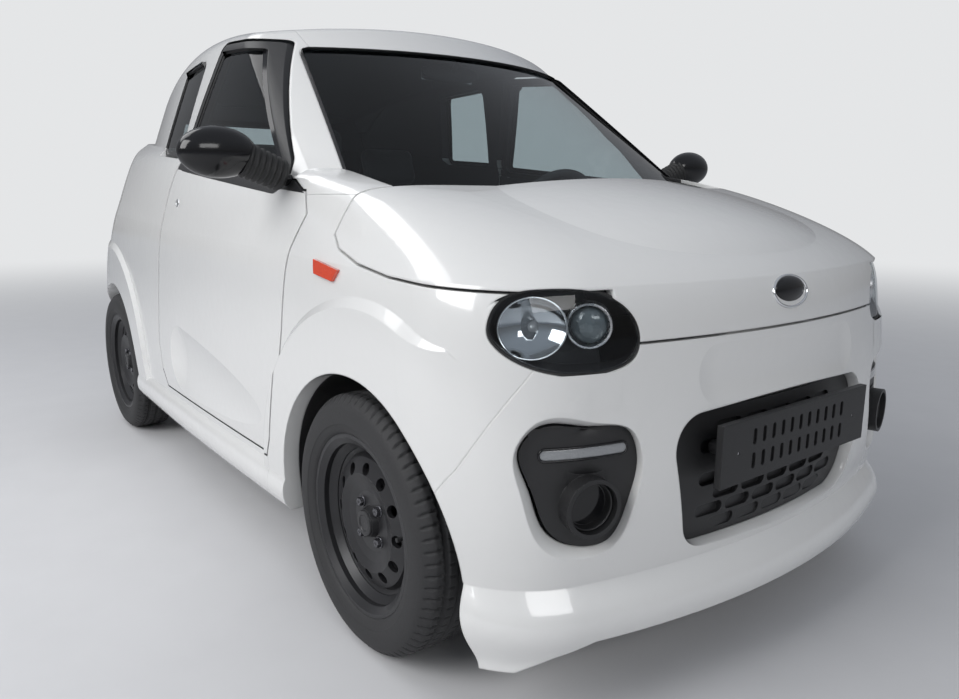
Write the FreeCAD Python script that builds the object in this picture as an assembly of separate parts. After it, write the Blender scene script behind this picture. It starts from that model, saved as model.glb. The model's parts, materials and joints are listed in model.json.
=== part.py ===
"""Light two-seat quadricycle car with two doors and a tailgate, in millimetres.

+X is forward, +Y is the left side and +Z is up. The ground is at Z = 0.
Every closed plan outline of the body is a ring of eight tangent arcs, and the
body shapes are lofts of such rings. Panels are cut from the shell between an
outer loft and the same loft inset by the wall thickness.
"""
import FreeCAD, Part
import math
import os

V = FreeCAD.Vector
X_AXIS = V(1, 0, 0)
Y_AXIS = V(0, 1, 0)
Z_AXIS = V(0, 0, 1)
ORIGIN = V(0, 0, 0)
RIGHT = -1
LEFT = 1
FAR = 2500

# Wheels and axles
FRONT_AXLE_X = 924
WHEELBASE = 2010
REAR_AXLE_X = FRONT_AXLE_X - WHEELBASE
TYRE_RADIUS = 278
TYRE_WIDTH = 155
WHEEL_PLANE_Y = 648
RIM_RADIUS = 178
HUB_BORE_RADIUS = 27
HUB_BORE_END = 36
RUNNING_CLEARANCE = 0.05
VENT_CIRCLE_RADIUS = 118
VENT_COUNT = 12
VENT_RADIUS = 13

# Half sections of rim, disc and tyre as (radius, distance outwards)
RIM_PROFILE = ((194, 66), (194, 60), (180, 58), (180, 42), (164, 30), (164, -6), (180, -36), (180, -58),
               (194, -60), (194, -66), (186, -66), (172, -54), (172, -36), (157, -6), (157, 30),
               (172, 44), (172, 56), (186, 66))
DISC_PROFILE = ((158, 28), (158, 8), (146, 8), (134, 24), (104, 36), (80, 28), (62, 22), (22, 22), (22, 46),
                (30, 46), (34, 32), (66, 32), (86, 38), (106, 46), (140, 34), (148, 22))
TYRE_PROFILE = ((180.3, 57.4), (194.3, 59.6), (194.5, 66.4), (214, 75), (236, 77), (256, 72), (268, 62), (275, 50), (278, 24),
                (278, -24), (275, -50), (268, -62), (256, -72), (236, -77), (214, -75), (194.5, -66.4),
                (194.3, -59.6), (180.3, -57.4))

# Front hub carrier and strut, as lengths along the wheel axis and heights
CARRIER_RADIUS = 52
CARRIER_INNER = 78
CARRIER_LENGTH = 44
STUB_END = 34
CLAMP_LOW_Z = 262
CLAMP_TOP_Z = 350
CLAMP_RADIUS = 26
BALL_TOP_Z = 176
BALL_RADIUS = 17
ARM_THICKNESS = 18
ARM_DROP = 4
ARM_SPREAD = 105
SPRING_LOW_Z = 588
SPRING_TOP_Z = 700
TOWER_OUTER_Y = 560

# Walls and gaps
SIDE_WALL = 45
ROOF_WALL = 32
FRONT_WALL = 26
BONNET_WALL = 18
GLASS_INSET = 5
GLASS_THICKNESS = 5
PANEL_GAP = 5
FRAME_GAP = 8
SOFT_GAP = 0.3

# Height of the body
FLOOR_Z = 250
FLOOR_THICKNESS = 22
BOOT_STEP_X = -560
BOOT_FLOOR_Z = 330
WAIST_Z = 843
WAIST_TILT = 0.03
ROOF_TOP_X = -300
ROOF_TOP_Z = 1480
ROOF_LONG_RADIUS = 2900
ROOF_CROSS_RADIUS = 2600
ROOF_EDGE_RADIUS = 68

# Rings of the lower body. Columns: height at x = 0, slope down per mm forward,
# front, rear, half width, nose radius, side radius, tail radius, front corner
# radius, rear corner radius
LOWER_RINGS = (
    (215, 0.00, 1434, -1446, 722, 1950, 26000, 2200, 240, 120),
    (330, 0.00, 1456, -1468, 730, 1950, 26000, 2200, 250, 130),
    (480, 0.00, 1464, -1480, 733, 1950, 26000, 2200, 255, 145),
    (640, 0.01, 1450, -1474, 731, 1950, 26000, 2100, 260, 200),
    (770, 0.022, 1440, -1463, 729, 1920, 22000, 1950, 264, 320),
    (WAIST_Z, WAIST_TILT, 1422, -1448, 721, 1900, 20000, 1900, 272, 400),
)
SHOULDER_RINGS = (
    (WAIST_Z, WAIST_TILT, 1422, -1448, 721, 1900, 20000, 1900, 272, 400),
    (882, 0.037, 1388, -1443, 713, 1760, 16000, 1850, 292, 420),
    (925, 0.045, 1330, -1436, 704, 1600, 13000, 1800, 320, 430),
    (992, 0.060, 1185, -1422, 686, 1350, 10000, 1700, 310, 430),
    (1040, 0.070, 1010, -1405, 664, 1100, 8000, 1600, 300, 380),
    (1066, 0.080, 830, -1385, 630, 950, 7000, 1500, 270, 360),
)
GREENHOUSE_RINGS = (
    (760, 0.0, 1262, -1425, 716, 770, 6500, 1500, 130, 330),
    (985, 0.0, 927, -1400, 681, 785, 5600, 1400, 122, 360),
    (1160, 0.0, 652, -1362, 634, 805, 5000, 1300, 114, 340),
    (1345, 0.0, 365, -1280, 576, 827, 4600, 1200, 108, 320),
    (1540, 0.0, 60, -1150, 500, 850, 4200, 1100, 100, 300),
)
LIP_RINGS = (
    (120, 0.0, 1462, -1300, 728, 1900, 26000, 2200, 235, 250),
    (165, 0.0, 1473, -1300, 733, 1900, 26000, 2200, 240, 250),
    (208, 0.0, 1480, -1300, 738, 1950, 26000, 2200, 245, 250),
    (224, 0.0, 1476, -1300, 737, 1950, 26000, 2200, 245, 250),
    (252, 0.0, 1459, -1300, 732, 1950, 26000, 2200, 245, 250),
    (310, 0.0, 1446, -1300, 724, 1950, 26000, 2200, 245, 250),
)
LIP_SPACE_RINGS = (
    (60, 0.0, 1462, -1300, 728, 1900, 26000, 2200, 235, 250),
    (160, 0.0, 1462, -1300, 728, 1900, 26000, 2200, 235, 250),
    (262, 0.0, 1446, -1300, 724, 1950, 26000, 2200, 245, 250),
)

# Sill skirts between the wheels, and the hollow low on the doors as a long
# round cut with (x, height, depth) at its ends
SILL_RINGS = (
    (204, 0.0, 1464, -1480, 727, 1950, 26000, 2200, 255, 145),
    (220, 0.0, 1464, -1480, 740, 1950, 26000, 2200, 255, 145),
    (278, 0.0, 1464, -1480, 743, 1950, 26000, 2200, 255, 145),
    (302, 0.0, 1464, -1480, 727, 1950, 26000, 2200, 255, 145),
)
SILL_SPAN = (-780, 640)
SCOOP_RADIUS = 330
SCOOP_REAR = (-190, 440, 18)
SCOOP_FRONT = (520, 398, 1)
SCOOP_FLANK_Y = 731

# Trough across the nose above the grille
TROUGH_RADIUS = 240
TROUGH_DEPTH = 8
TROUGH_Z = 652
TROUGH_HALF = 250

# Bonnet bulge. Columns: station x, half width, edge z, top z
BULGE_SECTIONS = (
    (850, 516, 958, 1010),
    (1010, 492, 936, 991),
    (1190, 448, 890, 944),
    (1320, 396, 832, 885),
    (1400, 330, 735, 800),
)

# Outlines seen from the side, as (x, z)
DOOR_FRONT_LINE = ((505, 322), (530, 372), (600, 648), (633, 838), (668, 912), (628, 962))
DOOR_REAR_LINE = ((-270, 1036), (-305, 955), (-335, 853), (-400, 610), (-430, 470), (-412, 372), (-372, 322))
DOOR_GLASS = ((545, 972), (168, 1343), (-96, 1366), (-246, 1050))
QUARTER_GLASS = ((-250, 1366), (-520, 1356), (-612, 1088), (-316, 1066))
BONNET_LINE = ((806, 1150), (800, 930), (797, 888), (843, 848), (925, 824), (1039, 808), (1156, 802), (1330, 797))
BONNET_NOSE_Z = 706
BONNET_NOSE_HALF = 448
BUMPER_LINE = ((1188, 100), (1204, 439), (1244, 490), (1277, 548), (1304, 599), (1328, 648), (1350, 706))
WINDOW_CORNER_RADIUS = 26
FRAME_WIDTH = 22

# Outlines seen from the front, as (y, z), on the right side of the car
SCREEN_OUTLINE = ((-588, 952), (588, 952), (474, 1348), (-474, 1348))
GRILLE_MID_X = 1440
GRILLE_OUTLINE = ((-345, 558), (345, 558), (288, 296), (-288, 296))
GRILLE_CORNER_RADIUS = 62
PLATE_HALF_WIDTH = 262
PLATE_HEIGHT = 122
PLATE_CENTRE_Z = 484
PLATE_THICKNESS = 14
PLATE_BACK_X = 1466
PLATE_BOSS_RADIUS = 14
PLATE_SCREW_SPACING = 420
PLATE_SCREW_RADIUS = 3.25
PLATE_SLOT_RISE = 24
PLATE_SLOT_COUNT = 5
PLATE_SLOT_PITCH = 32
PLATE_SLOT_HALF_WIDTH = 6
PLATE_SLOT_HALF_HEIGHT = 16
PLATE_SLOT_DEPTH = 6
CELL_ROWS = 7
CELL_COLUMNS = 3
CELL_LOW_Z = 322
CELL_PITCH_Y = 84
CELL_PITCH_Z = 33
CELL_HALF_WIDTH = 37
CELL_HALF_HEIGHT = 13
CELL_LIMIT_Y = 250
CELL_FRONT_X = 1500
CELL_REACH = 75
BADGE_HALF_WIDTH = 58
BADGE_HALF_HEIGHT = 30
BADGE_Z = 768
BADGE_X = 1426
BADGE_DEPTH = 16
REPEATER_RISE = 7

# Wheel arches
ARCH_RADIUS = 322
LINER_SHEET = 4
LINER_INNER_Y = 425

# Half section of the flare round an arch as (radius, distance from the middle)
FLARE_PROFILE = ((300, 600), (300, 760), (408, 760), (508, 689), (508, 600))
FLARE_LIMIT = 13
FLARE_CORNER_GROWTH = 45
ARCH_MOUTH_SPREAD = 55
CHIN_OUTLINE = ((-640, 60), (-640, 112), (-570, 150), (-500, 172), (-120, 172))

# Lamps and fog pods: middle, turn outwards and outline as (outwards, up)
HEADLAMP_CENTRE = V(1345, -535, 735)
HEADLAMP_TURN = 46
HEADLAMP_OUTLINE = ((129, 6), (103, 52), (30, 67), (-68, 53), (-122, 3), (-122, -54), (-50, -79), (52, -65),
                    (114, -30))
HEADLAMP_BEVEL = 9
HEADLAMP_LENS_INSET = 9
HEADLAMP_LENS = 4
HEADLAMP_DEPTH = 75
HEADLAMP_WALL = 5
FOG_CENTRE = V(1375, -535, 470)
FOG_TURN = 26
FOG_OUTLINE = ((86, 72), (56, 97), (-30, 92), (-108, 80), (-129, 30), (-112, -52), (-76, -122), (-8, -121),
               (42, -88), (74, -8))
FOG_BEVEL = 22
FOG_TUBE_OFFSET = (-34, -44)
FOG_TUBE_TURN = 14
FOG_TUBE_RADIUS = 54
FOG_TUBE_WALL = 8
FOG_TUBE_LENGTH = 18
FOG_TUBE_DEPTH = 56
FOG_BORE_DEPTH = 44
FOG_BAR_OUTLINE = ((57, 50), (52, 62), (-96, 62), (-104, 50), (-98, 38), (48, 38))
FOG_BAR_DEPTH = 7
GRILLE_BEVEL = 11
MOUTH_STEPS = ((-30, 0.0), (-12, 0.25), (6, 1.0), (24, 2.4))
POCKET_REACH = 90

# Tail, seen from behind as (y, z), and the split on the roof
TAILGATE_SPLIT_X = -1108
TAILGATE_OUTLINE = ((-430, 572), (430, 572), (508, 660), (520, 900), (478, 1170), (405, 1600),
                    (-405, 1600), (-478, 1170), (-520, 900), (-508, 660))
REAR_GLASS_OUTLINE = ((-430, 985), (430, 985), (372, 1262), (-372, 1262))
REAR_GLASS_CORNER = 45
TAIL_LAMP_CENTRE = V(-1340, -614, 800)
TAIL_LAMP_TURN = 135
TAIL_LAMP_RADIUS = 54
REAR_BUMPER_X = -1150
REAR_BUMPER_TOP_Z = 566

# Steering axis of the right front wheel
KINGPIN_LOW = V(FRONT_AXLE_X, -587, 150)
KINGPIN_TOP = V(FRONT_AXLE_X, -505, 662)
STRUT_RADIUS = 22
SPRING_RADIUS = 46
STRUT_GAP = 0.3

# Doors
FRAME_DEPTH = 28
BELT_RAIL = ((628, 958), (-270, 1032), (-262, 1058), (560, 986))
FLANK_START_Y = 300
MIRROR_CENTRE = V(535, -822, 1046)
MIRROR_AXES = (48, 88, 56)
MIRROR_ARM = (V(542, -760, 1030), V(530, -640, 980))
MIRROR_ARM_RADIUS = 15
MIRROR_RIB_COUNT = 8
MIRROR_RIB_RISE = 4

# Bonnet and screen
BONNET_REAR_X = 990
BONNET_REAR_RADIUS = 1400
SCREEN_CORNER_RADIUS = 34
COWL_Z = 896
COWL_SHEET = 12
COWL_UPSTAND = 20
PILLAR_BASE_Z = 955
WING_REAR_X = 509
WING_INNER_Y = 400
ROOF_HALF = 445
REPEATER_OUTLINE = ((762, 822), (868, 806), (850, 782), (772, 792))

# Cabin
DASH_OUTLINE = ((545, 735), (700, 700), (712, 700), (712, 902), (940, 914), (940, 930), (705, 944), (575, 930))
DASH_HALF = 620
FIREWALL_X = 712
FIREWALL_SHEET = 12
SEAT_Y = 300
SEAT_WIDTH = 430
SEAT_FRONT_X = 140
SEAT_REAR_X = -330
SEAT_BASE_Z = 400
SEAT_TOP_Z = 545
SEAT_BACK_HEIGHT = 590
SEAT_BACK_THICKNESS = 105
SEAT_BACK_ANGLE = 17
SEAT_CORNER = 38
SEAT_HEEL_OFFSET = -150
SEAT_BRACKET = 34
HEADREST_WIDTH = 250
HEADREST_HEIGHT = 150
HEADREST_THICKNESS = 78
HEADREST_RISE = 45
POST_RADIUS = 6
POST_SPACING = 140
STEERING_CENTRE = V(392, 300, 862)
STEERING_TILT = 26
STEERING_RADIUS = 178
STEERING_RIM_RADIUS = 14
STEERING_HUB_RADIUS = 48
COLUMN_RADIUS = 30
INNER_MIRROR_CENTRE = V(262, 0, 1318)

FIREWALL_HALF = 690
COWL_INSET = 2

# Chassis
RAIL_Y = 300
RAIL_HALF_WIDTH = 20
RAIL_BOTTOM_Z = 188
RAIL_END_X = 1370
CROSS_RAILS_X = (1345, 560, -560, -1345)
JACK_X = -100
JACK_Z = 180
JACK_HALF_LENGTH = 45
JACK_HALF_WIDTH = 28
ENGINE_BOX = (760, 1190, 225, 610)
SHAFT_RADIUS = 13
SHAFT_END_Y = 526
TRAIL_PIVOT_X = -640
TRAIL_ARM_Y = 505
TRAIL_TUBE_RADIUS = 26
DAMPER_X = -1000
DAMPER_TOP_Z = 572
LINER_LOW_Z = 215


def polygon(points):
    """Closed wire through the points."""
    return Part.makePolygon(list(points) + [points[0]])


def side_wire(points, y=0):
    """Closed wire from (x, z) points in the plane at y."""
    return polygon([V(x, y, z) for x, z in points])


def front_wire(points, x=0):
    """Closed wire from (y, z) points in the plane at x."""
    return polygon([V(x, y, z) for y, z in points])


def rounded(wire, radius):
    """Planar wire with its corners rounded by shrinking and growing it."""
    if radius <= 0:
        return wire
    return wire.makeOffset2D(-radius).makeOffset2D(radius)


def grown(wire, distance):
    """Planar wire offset outwards by a distance."""
    return wire.makeOffset2D(distance) if distance else wire


def moved(wire, step):
    """Copy of a wire, shifted."""
    copy = wire.copy()
    copy.translate(step)
    return copy


def extruded(wire, direction):
    """Solid made by extruding a closed planar wire."""
    return Part.Face(wire).extrude(direction)


def box(x0, x1, y0, y1, z0, z1):
    """Box between two corners."""
    return Part.makeBox(x1 - x0, y1 - y0, z1 - z0, V(x0, y0, z0))


def rod(start, end, radius):
    """Round bar between two points."""
    axis = end.sub(start)
    return Part.makeCylinder(radius, axis.Length, start, axis)


def fused(shapes):
    """One shape from several, with seam lines inside faces removed."""
    result = shapes[0]
    if len(shapes) > 1:
        result = shapes[0].fuse(list(shapes[1:]))
    return result.removeSplitter()


def mirrored(shape):
    """Copy of a right side piece for the left side."""
    return shape.mirror(ORIGIN, Y_AXIS)


def both_sides(shape):
    """Right side piece and its mirror image as two solids of one piece."""
    return Part.makeCompound(shape.Solids + mirrored(shape).Solids)


def toward(centre, point, distance):
    """Point at a distance from a centre in the direction of a point."""
    length = math.hypot(point[0] - centre[0], point[1] - centre[1])
    share = distance / length
    return (centre[0] + (point[0] - centre[0]) * share, centre[1] + (point[1] - centre[1]) * share)


def corner_centre(end_centre, end_radius, side_centre, side_radius, corner, facing):
    """Centre of the corner arc that lies inside an end arc and a side arc."""
    r1 = end_radius - corner
    r2 = side_radius - corner
    dx = side_centre[0] - end_centre[0]
    dy = side_centre[1] - end_centre[1]
    span = math.hypot(dx, dy)
    along = (r1 * r1 - r2 * r2 + span * span) / (2 * span)
    across = math.sqrt(r1 * r1 - along * along)
    foot = (end_centre[0] + along * dx / span, end_centre[1] + along * dy / span)
    first = (foot[0] - across * dy / span, foot[1] + across * dx / span)
    second = (foot[0] + across * dy / span, foot[1] - across * dx / span)
    return max(first, second, key=lambda point: point[0] * facing)


def ring(row, inset):
    """Closed plan outline of eight tangent arcs, tilted about the Y axis."""
    height, slope, front, rear, half, nose_r, side_r, tail_r, front_corner, rear_corner = row
    front, rear, half = front - inset, rear + inset, half - inset
    nose_r, side_r, tail_r = nose_r - inset, side_r - inset, tail_r - inset
    front_corner, rear_corner = front_corner - inset, rear_corner - inset
    nose_centre = (front - nose_r, 0)
    tail_centre = (rear + tail_r, 0)
    side_centre = (0, half - side_r)
    q_front = corner_centre(nose_centre, nose_r, side_centre, side_r, front_corner, 1)
    q_rear = corner_centre(tail_centre, tail_r, side_centre, side_r, rear_corner, -1)
    nose_end = toward(nose_centre, q_front, nose_r)
    side_front = toward(side_centre, q_front, side_r)
    side_rear = toward(side_centre, q_rear, side_r)
    tail_end = toward(tail_centre, q_rear, tail_r)
    front_middle = middle_on(q_front, front_corner, nose_end, side_front)
    rear_middle = middle_on(q_rear, rear_corner, side_rear, tail_end)
    side_middle = middle_on(side_centre, side_r, side_front, side_rear)
    left = [nose_end, front_middle, side_front, side_middle, side_rear, rear_middle, tail_end]
    right = [(x, -y) for x, y in reversed(left)]
    loop = [(front, 0)] + left + [(rear, 0)] + right + [(front, 0)]
    points = [V(x, y, 0) for x, y in loop[1:-1]]
    points = [points[-1], V(front, 0, 0)] + points
    edges = []
    for first in range(0, len(points) - 2, 2):
        edges.append(Part.Arc(points[first], points[first + 1], points[first + 2]).toShape())
    wire = Part.Wire(edges)
    wire.rotate(ORIGIN, Y_AXIS, math.degrees(math.atan(slope)))
    wire.translate(V(0, 0, height))
    return wire


def middle_on(centre, radius, start, end):
    """Point halfway along the short arc between two points of a circle."""
    return toward(centre, ((start[0] + end[0]) / 2, (start[1] + end[1]) / 2), radius)


def ring_loft(rows, inset=0):
    """Solid through the rings of one table."""
    return Part.makeLoft([ring(row, inset) for row in rows], True, False)


def roof_dome(inset):
    """Solid below the roof surface, crowned along and across the car."""
    radius = ROOF_CROSS_RADIUS - inset
    top = ROOF_TOP_Z - inset
    half = 900
    edge_z = top - radius + math.sqrt(radius ** 2 - half ** 2)
    crown = Part.Arc(V(ROOF_TOP_X, -half, edge_z), V(ROOF_TOP_X, 0, top), V(ROOF_TOP_X, half, edge_z)).toShape()
    base = 300
    sides = Part.makePolygon([V(ROOF_TOP_X, half, edge_z), V(ROOF_TOP_X, half, base),
                              V(ROOF_TOP_X, -half, base), V(ROOF_TOP_X, -half, edge_z)])
    section = Part.Face(Part.Wire([crown] + sides.Edges))
    pivot = V(ROOF_TOP_X, 0, ROOF_TOP_Z - ROOF_LONG_RADIUS)
    sweep = 34
    section.rotate(pivot, Y_AXIS, -sweep)
    return section.revolve(pivot, Y_AXIS, 2 * sweep)


def roof_edges(solid):
    """Edges where the roof meets the glass house."""
    found = []
    for edge in solid.Edges:
        low, high = edge.BoundBox.ZMin, edge.BoundBox.ZMax
        if low > 1150 and high - low < 160:
            found.append(edge)
    return found


def upper_body(inset=0):
    """Glass house with its crowned roof and rounded roof edge."""
    roof_inset = inset * ROOF_WALL / SIDE_WALL
    solid = ring_loft(GREENHOUSE_RINGS, inset).common(roof_dome(roof_inset))
    radius = max(ROOF_EDGE_RADIUS - inset, 12)
    return solid.makeFillet(radius, roof_edges(solid))


def bulge(inset):
    """Raised middle of the bonnet, a loft of crowned sections."""
    wires = []
    for x, half, edge_z, top_z in BULGE_SECTIONS:
        half, edge_z, top_z = half - inset, edge_z - inset, top_z - inset
        crown = Part.Arc(V(x, -half, edge_z), V(x, 0, top_z), V(x, half, edge_z)).toShape()
        base = edge_z - 160
        sides = Part.makePolygon([V(x, half, edge_z), V(x, half, base), V(x, -half, base), V(x, -half, edge_z)])
        wires.append(Part.Wire([crown] + sides.Edges))
    return Part.makeLoft(wires, True, False)


def lower_body(inset=0):
    """Body below the windows, from sills to bonnet."""
    shoulders = ring_loft(SHOULDER_RINGS, inset)
    return ring_loft(LOWER_RINGS, inset).fuse([shoulders, bulge(inset)])


def arch_flare(axle_x, side):
    """Swelling of the flank round a wheel arch, turned about the wheel axis."""
    centre = V(axle_x, 0, TYRE_RADIUS)
    points = [centre + V(0, side * y, radius) for radius, y in FLARE_PROFILE]
    return Part.Face(polygon(points)).revolve(centre, Y_AXIS, 360)


def flare_limit():
    """Body outline swollen at the flanks only, which bounds the flares."""
    rows = []
    for row in LOWER_RINGS:
        row = list(row)
        row[4] += FLARE_LIMIT
        row[8] += FLARE_CORNER_GROWTH
        row[9] += FLARE_CORNER_GROWTH
        rows.append(tuple(row))
    return ring_loft(rows)


def door_scoop():
    """Long hollow low on the right door, deeper at its rear."""
    ends = []
    for x, z, depth in (SCOOP_REAR, SCOOP_FRONT):
        ends.append(V(x, -(SCOOP_FLANK_Y - depth + SCOOP_RADIUS), z))
    return rod(ends[0], ends[1], SCOOP_RADIUS).fuse(Part.makeSphere(SCOOP_RADIUS, ends[0]))


def nose_trough():
    """Shallow trough that follows the curve of the nose, with round ends."""
    nose_radius = LOWER_RINGS[3][5]
    centre = V(LOWER_RINGS[3][2] - nose_radius, 0, TROUGH_Z)
    reach = nose_radius + TROUGH_RADIUS - TROUGH_DEPTH
    angle = math.degrees(math.asin(TROUGH_HALF / reach))
    start = centre + V(math.cos(math.radians(angle)), -math.sin(math.radians(angle)), 0) * reach
    tube = Part.Face(Part.Wire(Part.makeCircle(TROUGH_RADIUS, start, start.sub(centre).cross(Z_AXIS))))
    band = tube.revolve(centre, Z_AXIS, 2 * angle)
    ends = [Part.makeSphere(TROUGH_RADIUS, start), Part.makeSphere(TROUGH_RADIUS, V(start.x, -start.y, start.z))]
    return band.fuse(ends)


def arch_hole(axle_x, side, radius=ARCH_RADIUS, inner_y=LINER_INNER_Y):
    """Space cut for a wheel, open at the flank and below."""
    centre = V(axle_x, side * inner_y, TYRE_RADIUS)
    tunnel = Part.makeCylinder(radius, 500, centre, V(0, side, 0))
    spread = ARCH_MOUTH_SPREAD if axle_x > 0 else 0
    points = ((axle_x - radius, TYRE_RADIUS), (axle_x + radius, TYRE_RADIUS),
              (axle_x + radius + spread, 40), (axle_x - radius, 40))
    wire = side_wire(points, side * inner_y)
    return tunnel.fuse(extruded(wire, V(0, side * 500, 0)))


def chin_relief():
    """Space under the middle of the front lip, lower at its corners."""
    outline = []
    for y, z in CHIN_OUTLINE:
        outline.append((y, z))
    for y, z in reversed(CHIN_OUTLINE):
        outline.append((-y, z))
    return extruded(front_wire(outline, 1100), V(600, 0, 0))


def unit(vector):
    """Vector of length one."""
    copy = V(vector)
    return copy.normalize()


class Envelope:
    """Outer and inset solids that the panels are cut from."""

    def __init__(self):
        limit = flare_limit()
        flares = []
        for axle_x in (FRONT_AXLE_X, REAR_AXLE_X):
            for side in (RIGHT, LEFT):
                flares.append(arch_flare(axle_x, side).common(limit))
        lip = ring_loft(LIP_RINGS).common(box(1100, FAR, -FAR, FAR, 0, 400)).cut(chin_relief())
        sills = ring_loft(SILL_RINGS).common(box(SILL_SPAN[0], SILL_SPAN[1], -FAR, FAR, 0, 400))
        scoop = door_scoop()
        carved = lower_body().cut([scoop, mirrored(scoop), nose_trough()])
        self.lower = carved.fuse(flares + [lip, sills])
        self.side_in = lower_body(SIDE_WALL)
        lip_space = ring_loft(LIP_SPACE_RINGS, FRONT_WALL).common(box(1000, FAR, -FAR, FAR, 0, 400))
        self.front_in = lower_body(FRONT_WALL).fuse(lip_space)
        self.bonnet_in = lower_body(BONNET_WALL)
        self.upper = upper_body()
        self.upper_in = upper_body(SIDE_WALL)
        self.frame_in = upper_body(FRAME_DEPTH)
        self.glass_out = upper_body(GLASS_INSET)
        self.glass_in = upper_body(GLASS_INSET + GLASS_THICKNESS)
        self.body = self.lower.fuse(self.upper)
        self.cabin = self.side_in.fuse(self.upper_in)


def largest(shape):
    """Biggest solid of a shape."""
    return max(shape.Solids, key=lambda solid: solid.Volume)


def flank(wire, side=RIGHT):
    """Side wire extruded from inside the cabin past one flank."""
    copy = wire.copy()
    copy.translate(V(0, side * FLANK_START_Y, 0))
    return extruded(copy, V(0, side * 1000, 0))


def door_wire():
    """Door panel below the window, seen from the side."""
    return side_wire(DOOR_FRONT_LINE + DOOR_REAR_LINE)


def door_glass_wire():
    """Door window, seen from the side."""
    return rounded(side_wire(DOOR_GLASS), WINDOW_CORNER_RADIUS)


def frame_wire():
    """Black window frame of the door, seen from the side."""
    return grown(door_glass_wire(), FRAME_WIDTH)


def door_space():
    """Space that the closed right door and its frame leave free round them."""
    panel = flank(grown(door_wire(), PANEL_GAP))
    frame = flank(grown(frame_wire(), FRAME_GAP))
    belt = flank(grown(side_wire(BELT_RAIL), PANEL_GAP))
    return panel.fuse([frame, belt])


def make_door(env):
    """Right door shell, its window frame and its glass."""
    opening = flank(door_glass_wire())
    frame_zone = flank(frame_wire()).fuse(flank(side_wire(BELT_RAIL)))
    frame = largest(env.body.common(frame_zone).cut([env.frame_in, opening]))
    shell = env.body.common(flank(door_wire())).cut([env.side_in, env.upper_in, frame_zone])
    glass = largest(opening.common(env.glass_out).cut(env.glass_in))
    return largest(shell), frame, glass


def screen_prism():
    """Windscreen outline seen from the front, extruded along the car."""
    wire = rounded(front_wire(SCREEN_OUTLINE, 80), SCREEN_CORNER_RADIUS)
    return extruded(wire, V(1300, 0, 0))


def bonnet_region(growth=0):
    """Space above the bonnet's side shut lines and ahead of its rear edge."""
    wire = side_wire(BONNET_LINE + ((1700, 800), (1700, 1150)), -900)
    side = extruded(grown(wire, growth), V(0, 1800, 0))
    half = BONNET_NOSE_HALF + growth
    nose = box(1250, 1700, -half, half, BONNET_NOSE_Z - growth, 900)
    behind = Part.makeCylinder(BONNET_REAR_RADIUS - growth, 1200,
                               V(BONNET_REAR_X - BONNET_REAR_RADIUS, 0, 300), Z_AXIS)
    return side.fuse(nose).cut(behind)


def bumper_region():
    """Space ahead of the seam between wing and bumper, below the bonnet."""
    top = BONNET_NOSE_Z - PANEL_GAP
    points = BUMPER_LINE[:-1] + ((1350, top), (1700, top), (1700, 40), (1188, 40))
    return extruded(side_wire(points, -900), V(0, 1800, 0))


def level_aim(turn):
    """Level direction, forward and turned to the right by an angle."""
    angle = math.radians(turn)
    return V(math.cos(angle), -math.sin(angle), 0)


def aimed(outline, centre, aim, depth):
    """Points in a plane square to a level aim, from (outwards, up) pairs."""
    across = aim.cross(Z_AXIS).normalize()
    return [centre + across * u + Z_AXIS * w + aim * depth for u, w in outline]


def swollen(outline, distance, drop=0):
    """Outline with every point moved outwards from its neighbours' line, then down."""
    points = []
    count = len(outline)
    area = sum(outline[i - 1][0] * outline[i][1] - outline[i][0] * outline[i - 1][1] for i in range(count))
    turn = 1 if area > 0 else -1
    for index, (u, w) in enumerate(outline):
        before, after = outline[index - 1], outline[(index + 1) % count]
        du, dw = after[0] - before[0], after[1] - before[1]
        length = math.hypot(du, dw)
        points.append((u + turn * dw / length * distance, w - turn * du / length * distance - drop))
    return points


def smooth_wire(outline, centre, aim, depth):
    """Closed smooth curve through the points of an outline."""
    curve = Part.BSplineCurve()
    curve.interpolate(Points=aimed(outline, centre, aim, depth), PeriodicFlag=True)
    return Part.Wire(curve.toShape())


def pocket(outline, centre, aim, bevel, sink=0, reach=POCKET_REACH):
    """Straight hole along an aim with a mouth that widens, more below if it sinks."""
    hole = extruded(smooth_wire(outline, centre, aim, -reach), aim * (2 * reach))
    if not bevel:
        return hole
    sections = []
    for depth, share in MOUTH_STEPS:
        wider = swollen(outline, share * bevel, share * sink)
        sections.append(smooth_wire(wider, centre, aim, depth))
    return hole.fuse(Part.makeLoft(sections, True, False))


def headlamp_pocket(bevel=0):
    """Hole for the right headlamp."""
    return pocket(HEADLAMP_OUTLINE, HEADLAMP_CENTRE, level_aim(HEADLAMP_TURN), bevel, bevel)


def fog_pocket(bevel=0):
    """Hole for the right fog lamp pod."""
    return pocket(FOG_OUTLINE, FOG_CENTRE, level_aim(FOG_TURN), bevel)


def grille_pocket(bevel=0):
    """Hole for the grille, with a mouth that widens in three steps."""
    outline = rounded(front_wire(GRILLE_OUTLINE, GRILLE_MID_X), GRILLE_CORNER_RADIUS)
    hole = extruded(moved(outline, X_AXIS * -POCKET_REACH), X_AXIS * (2 * POCKET_REACH))
    if not bevel:
        return hole
    sections = [moved(grown(outline, share * bevel), X_AXIS * depth) for depth, share in MOUTH_STEPS]
    return hole.fuse(Part.makeLoft(sections, True, False))


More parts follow.
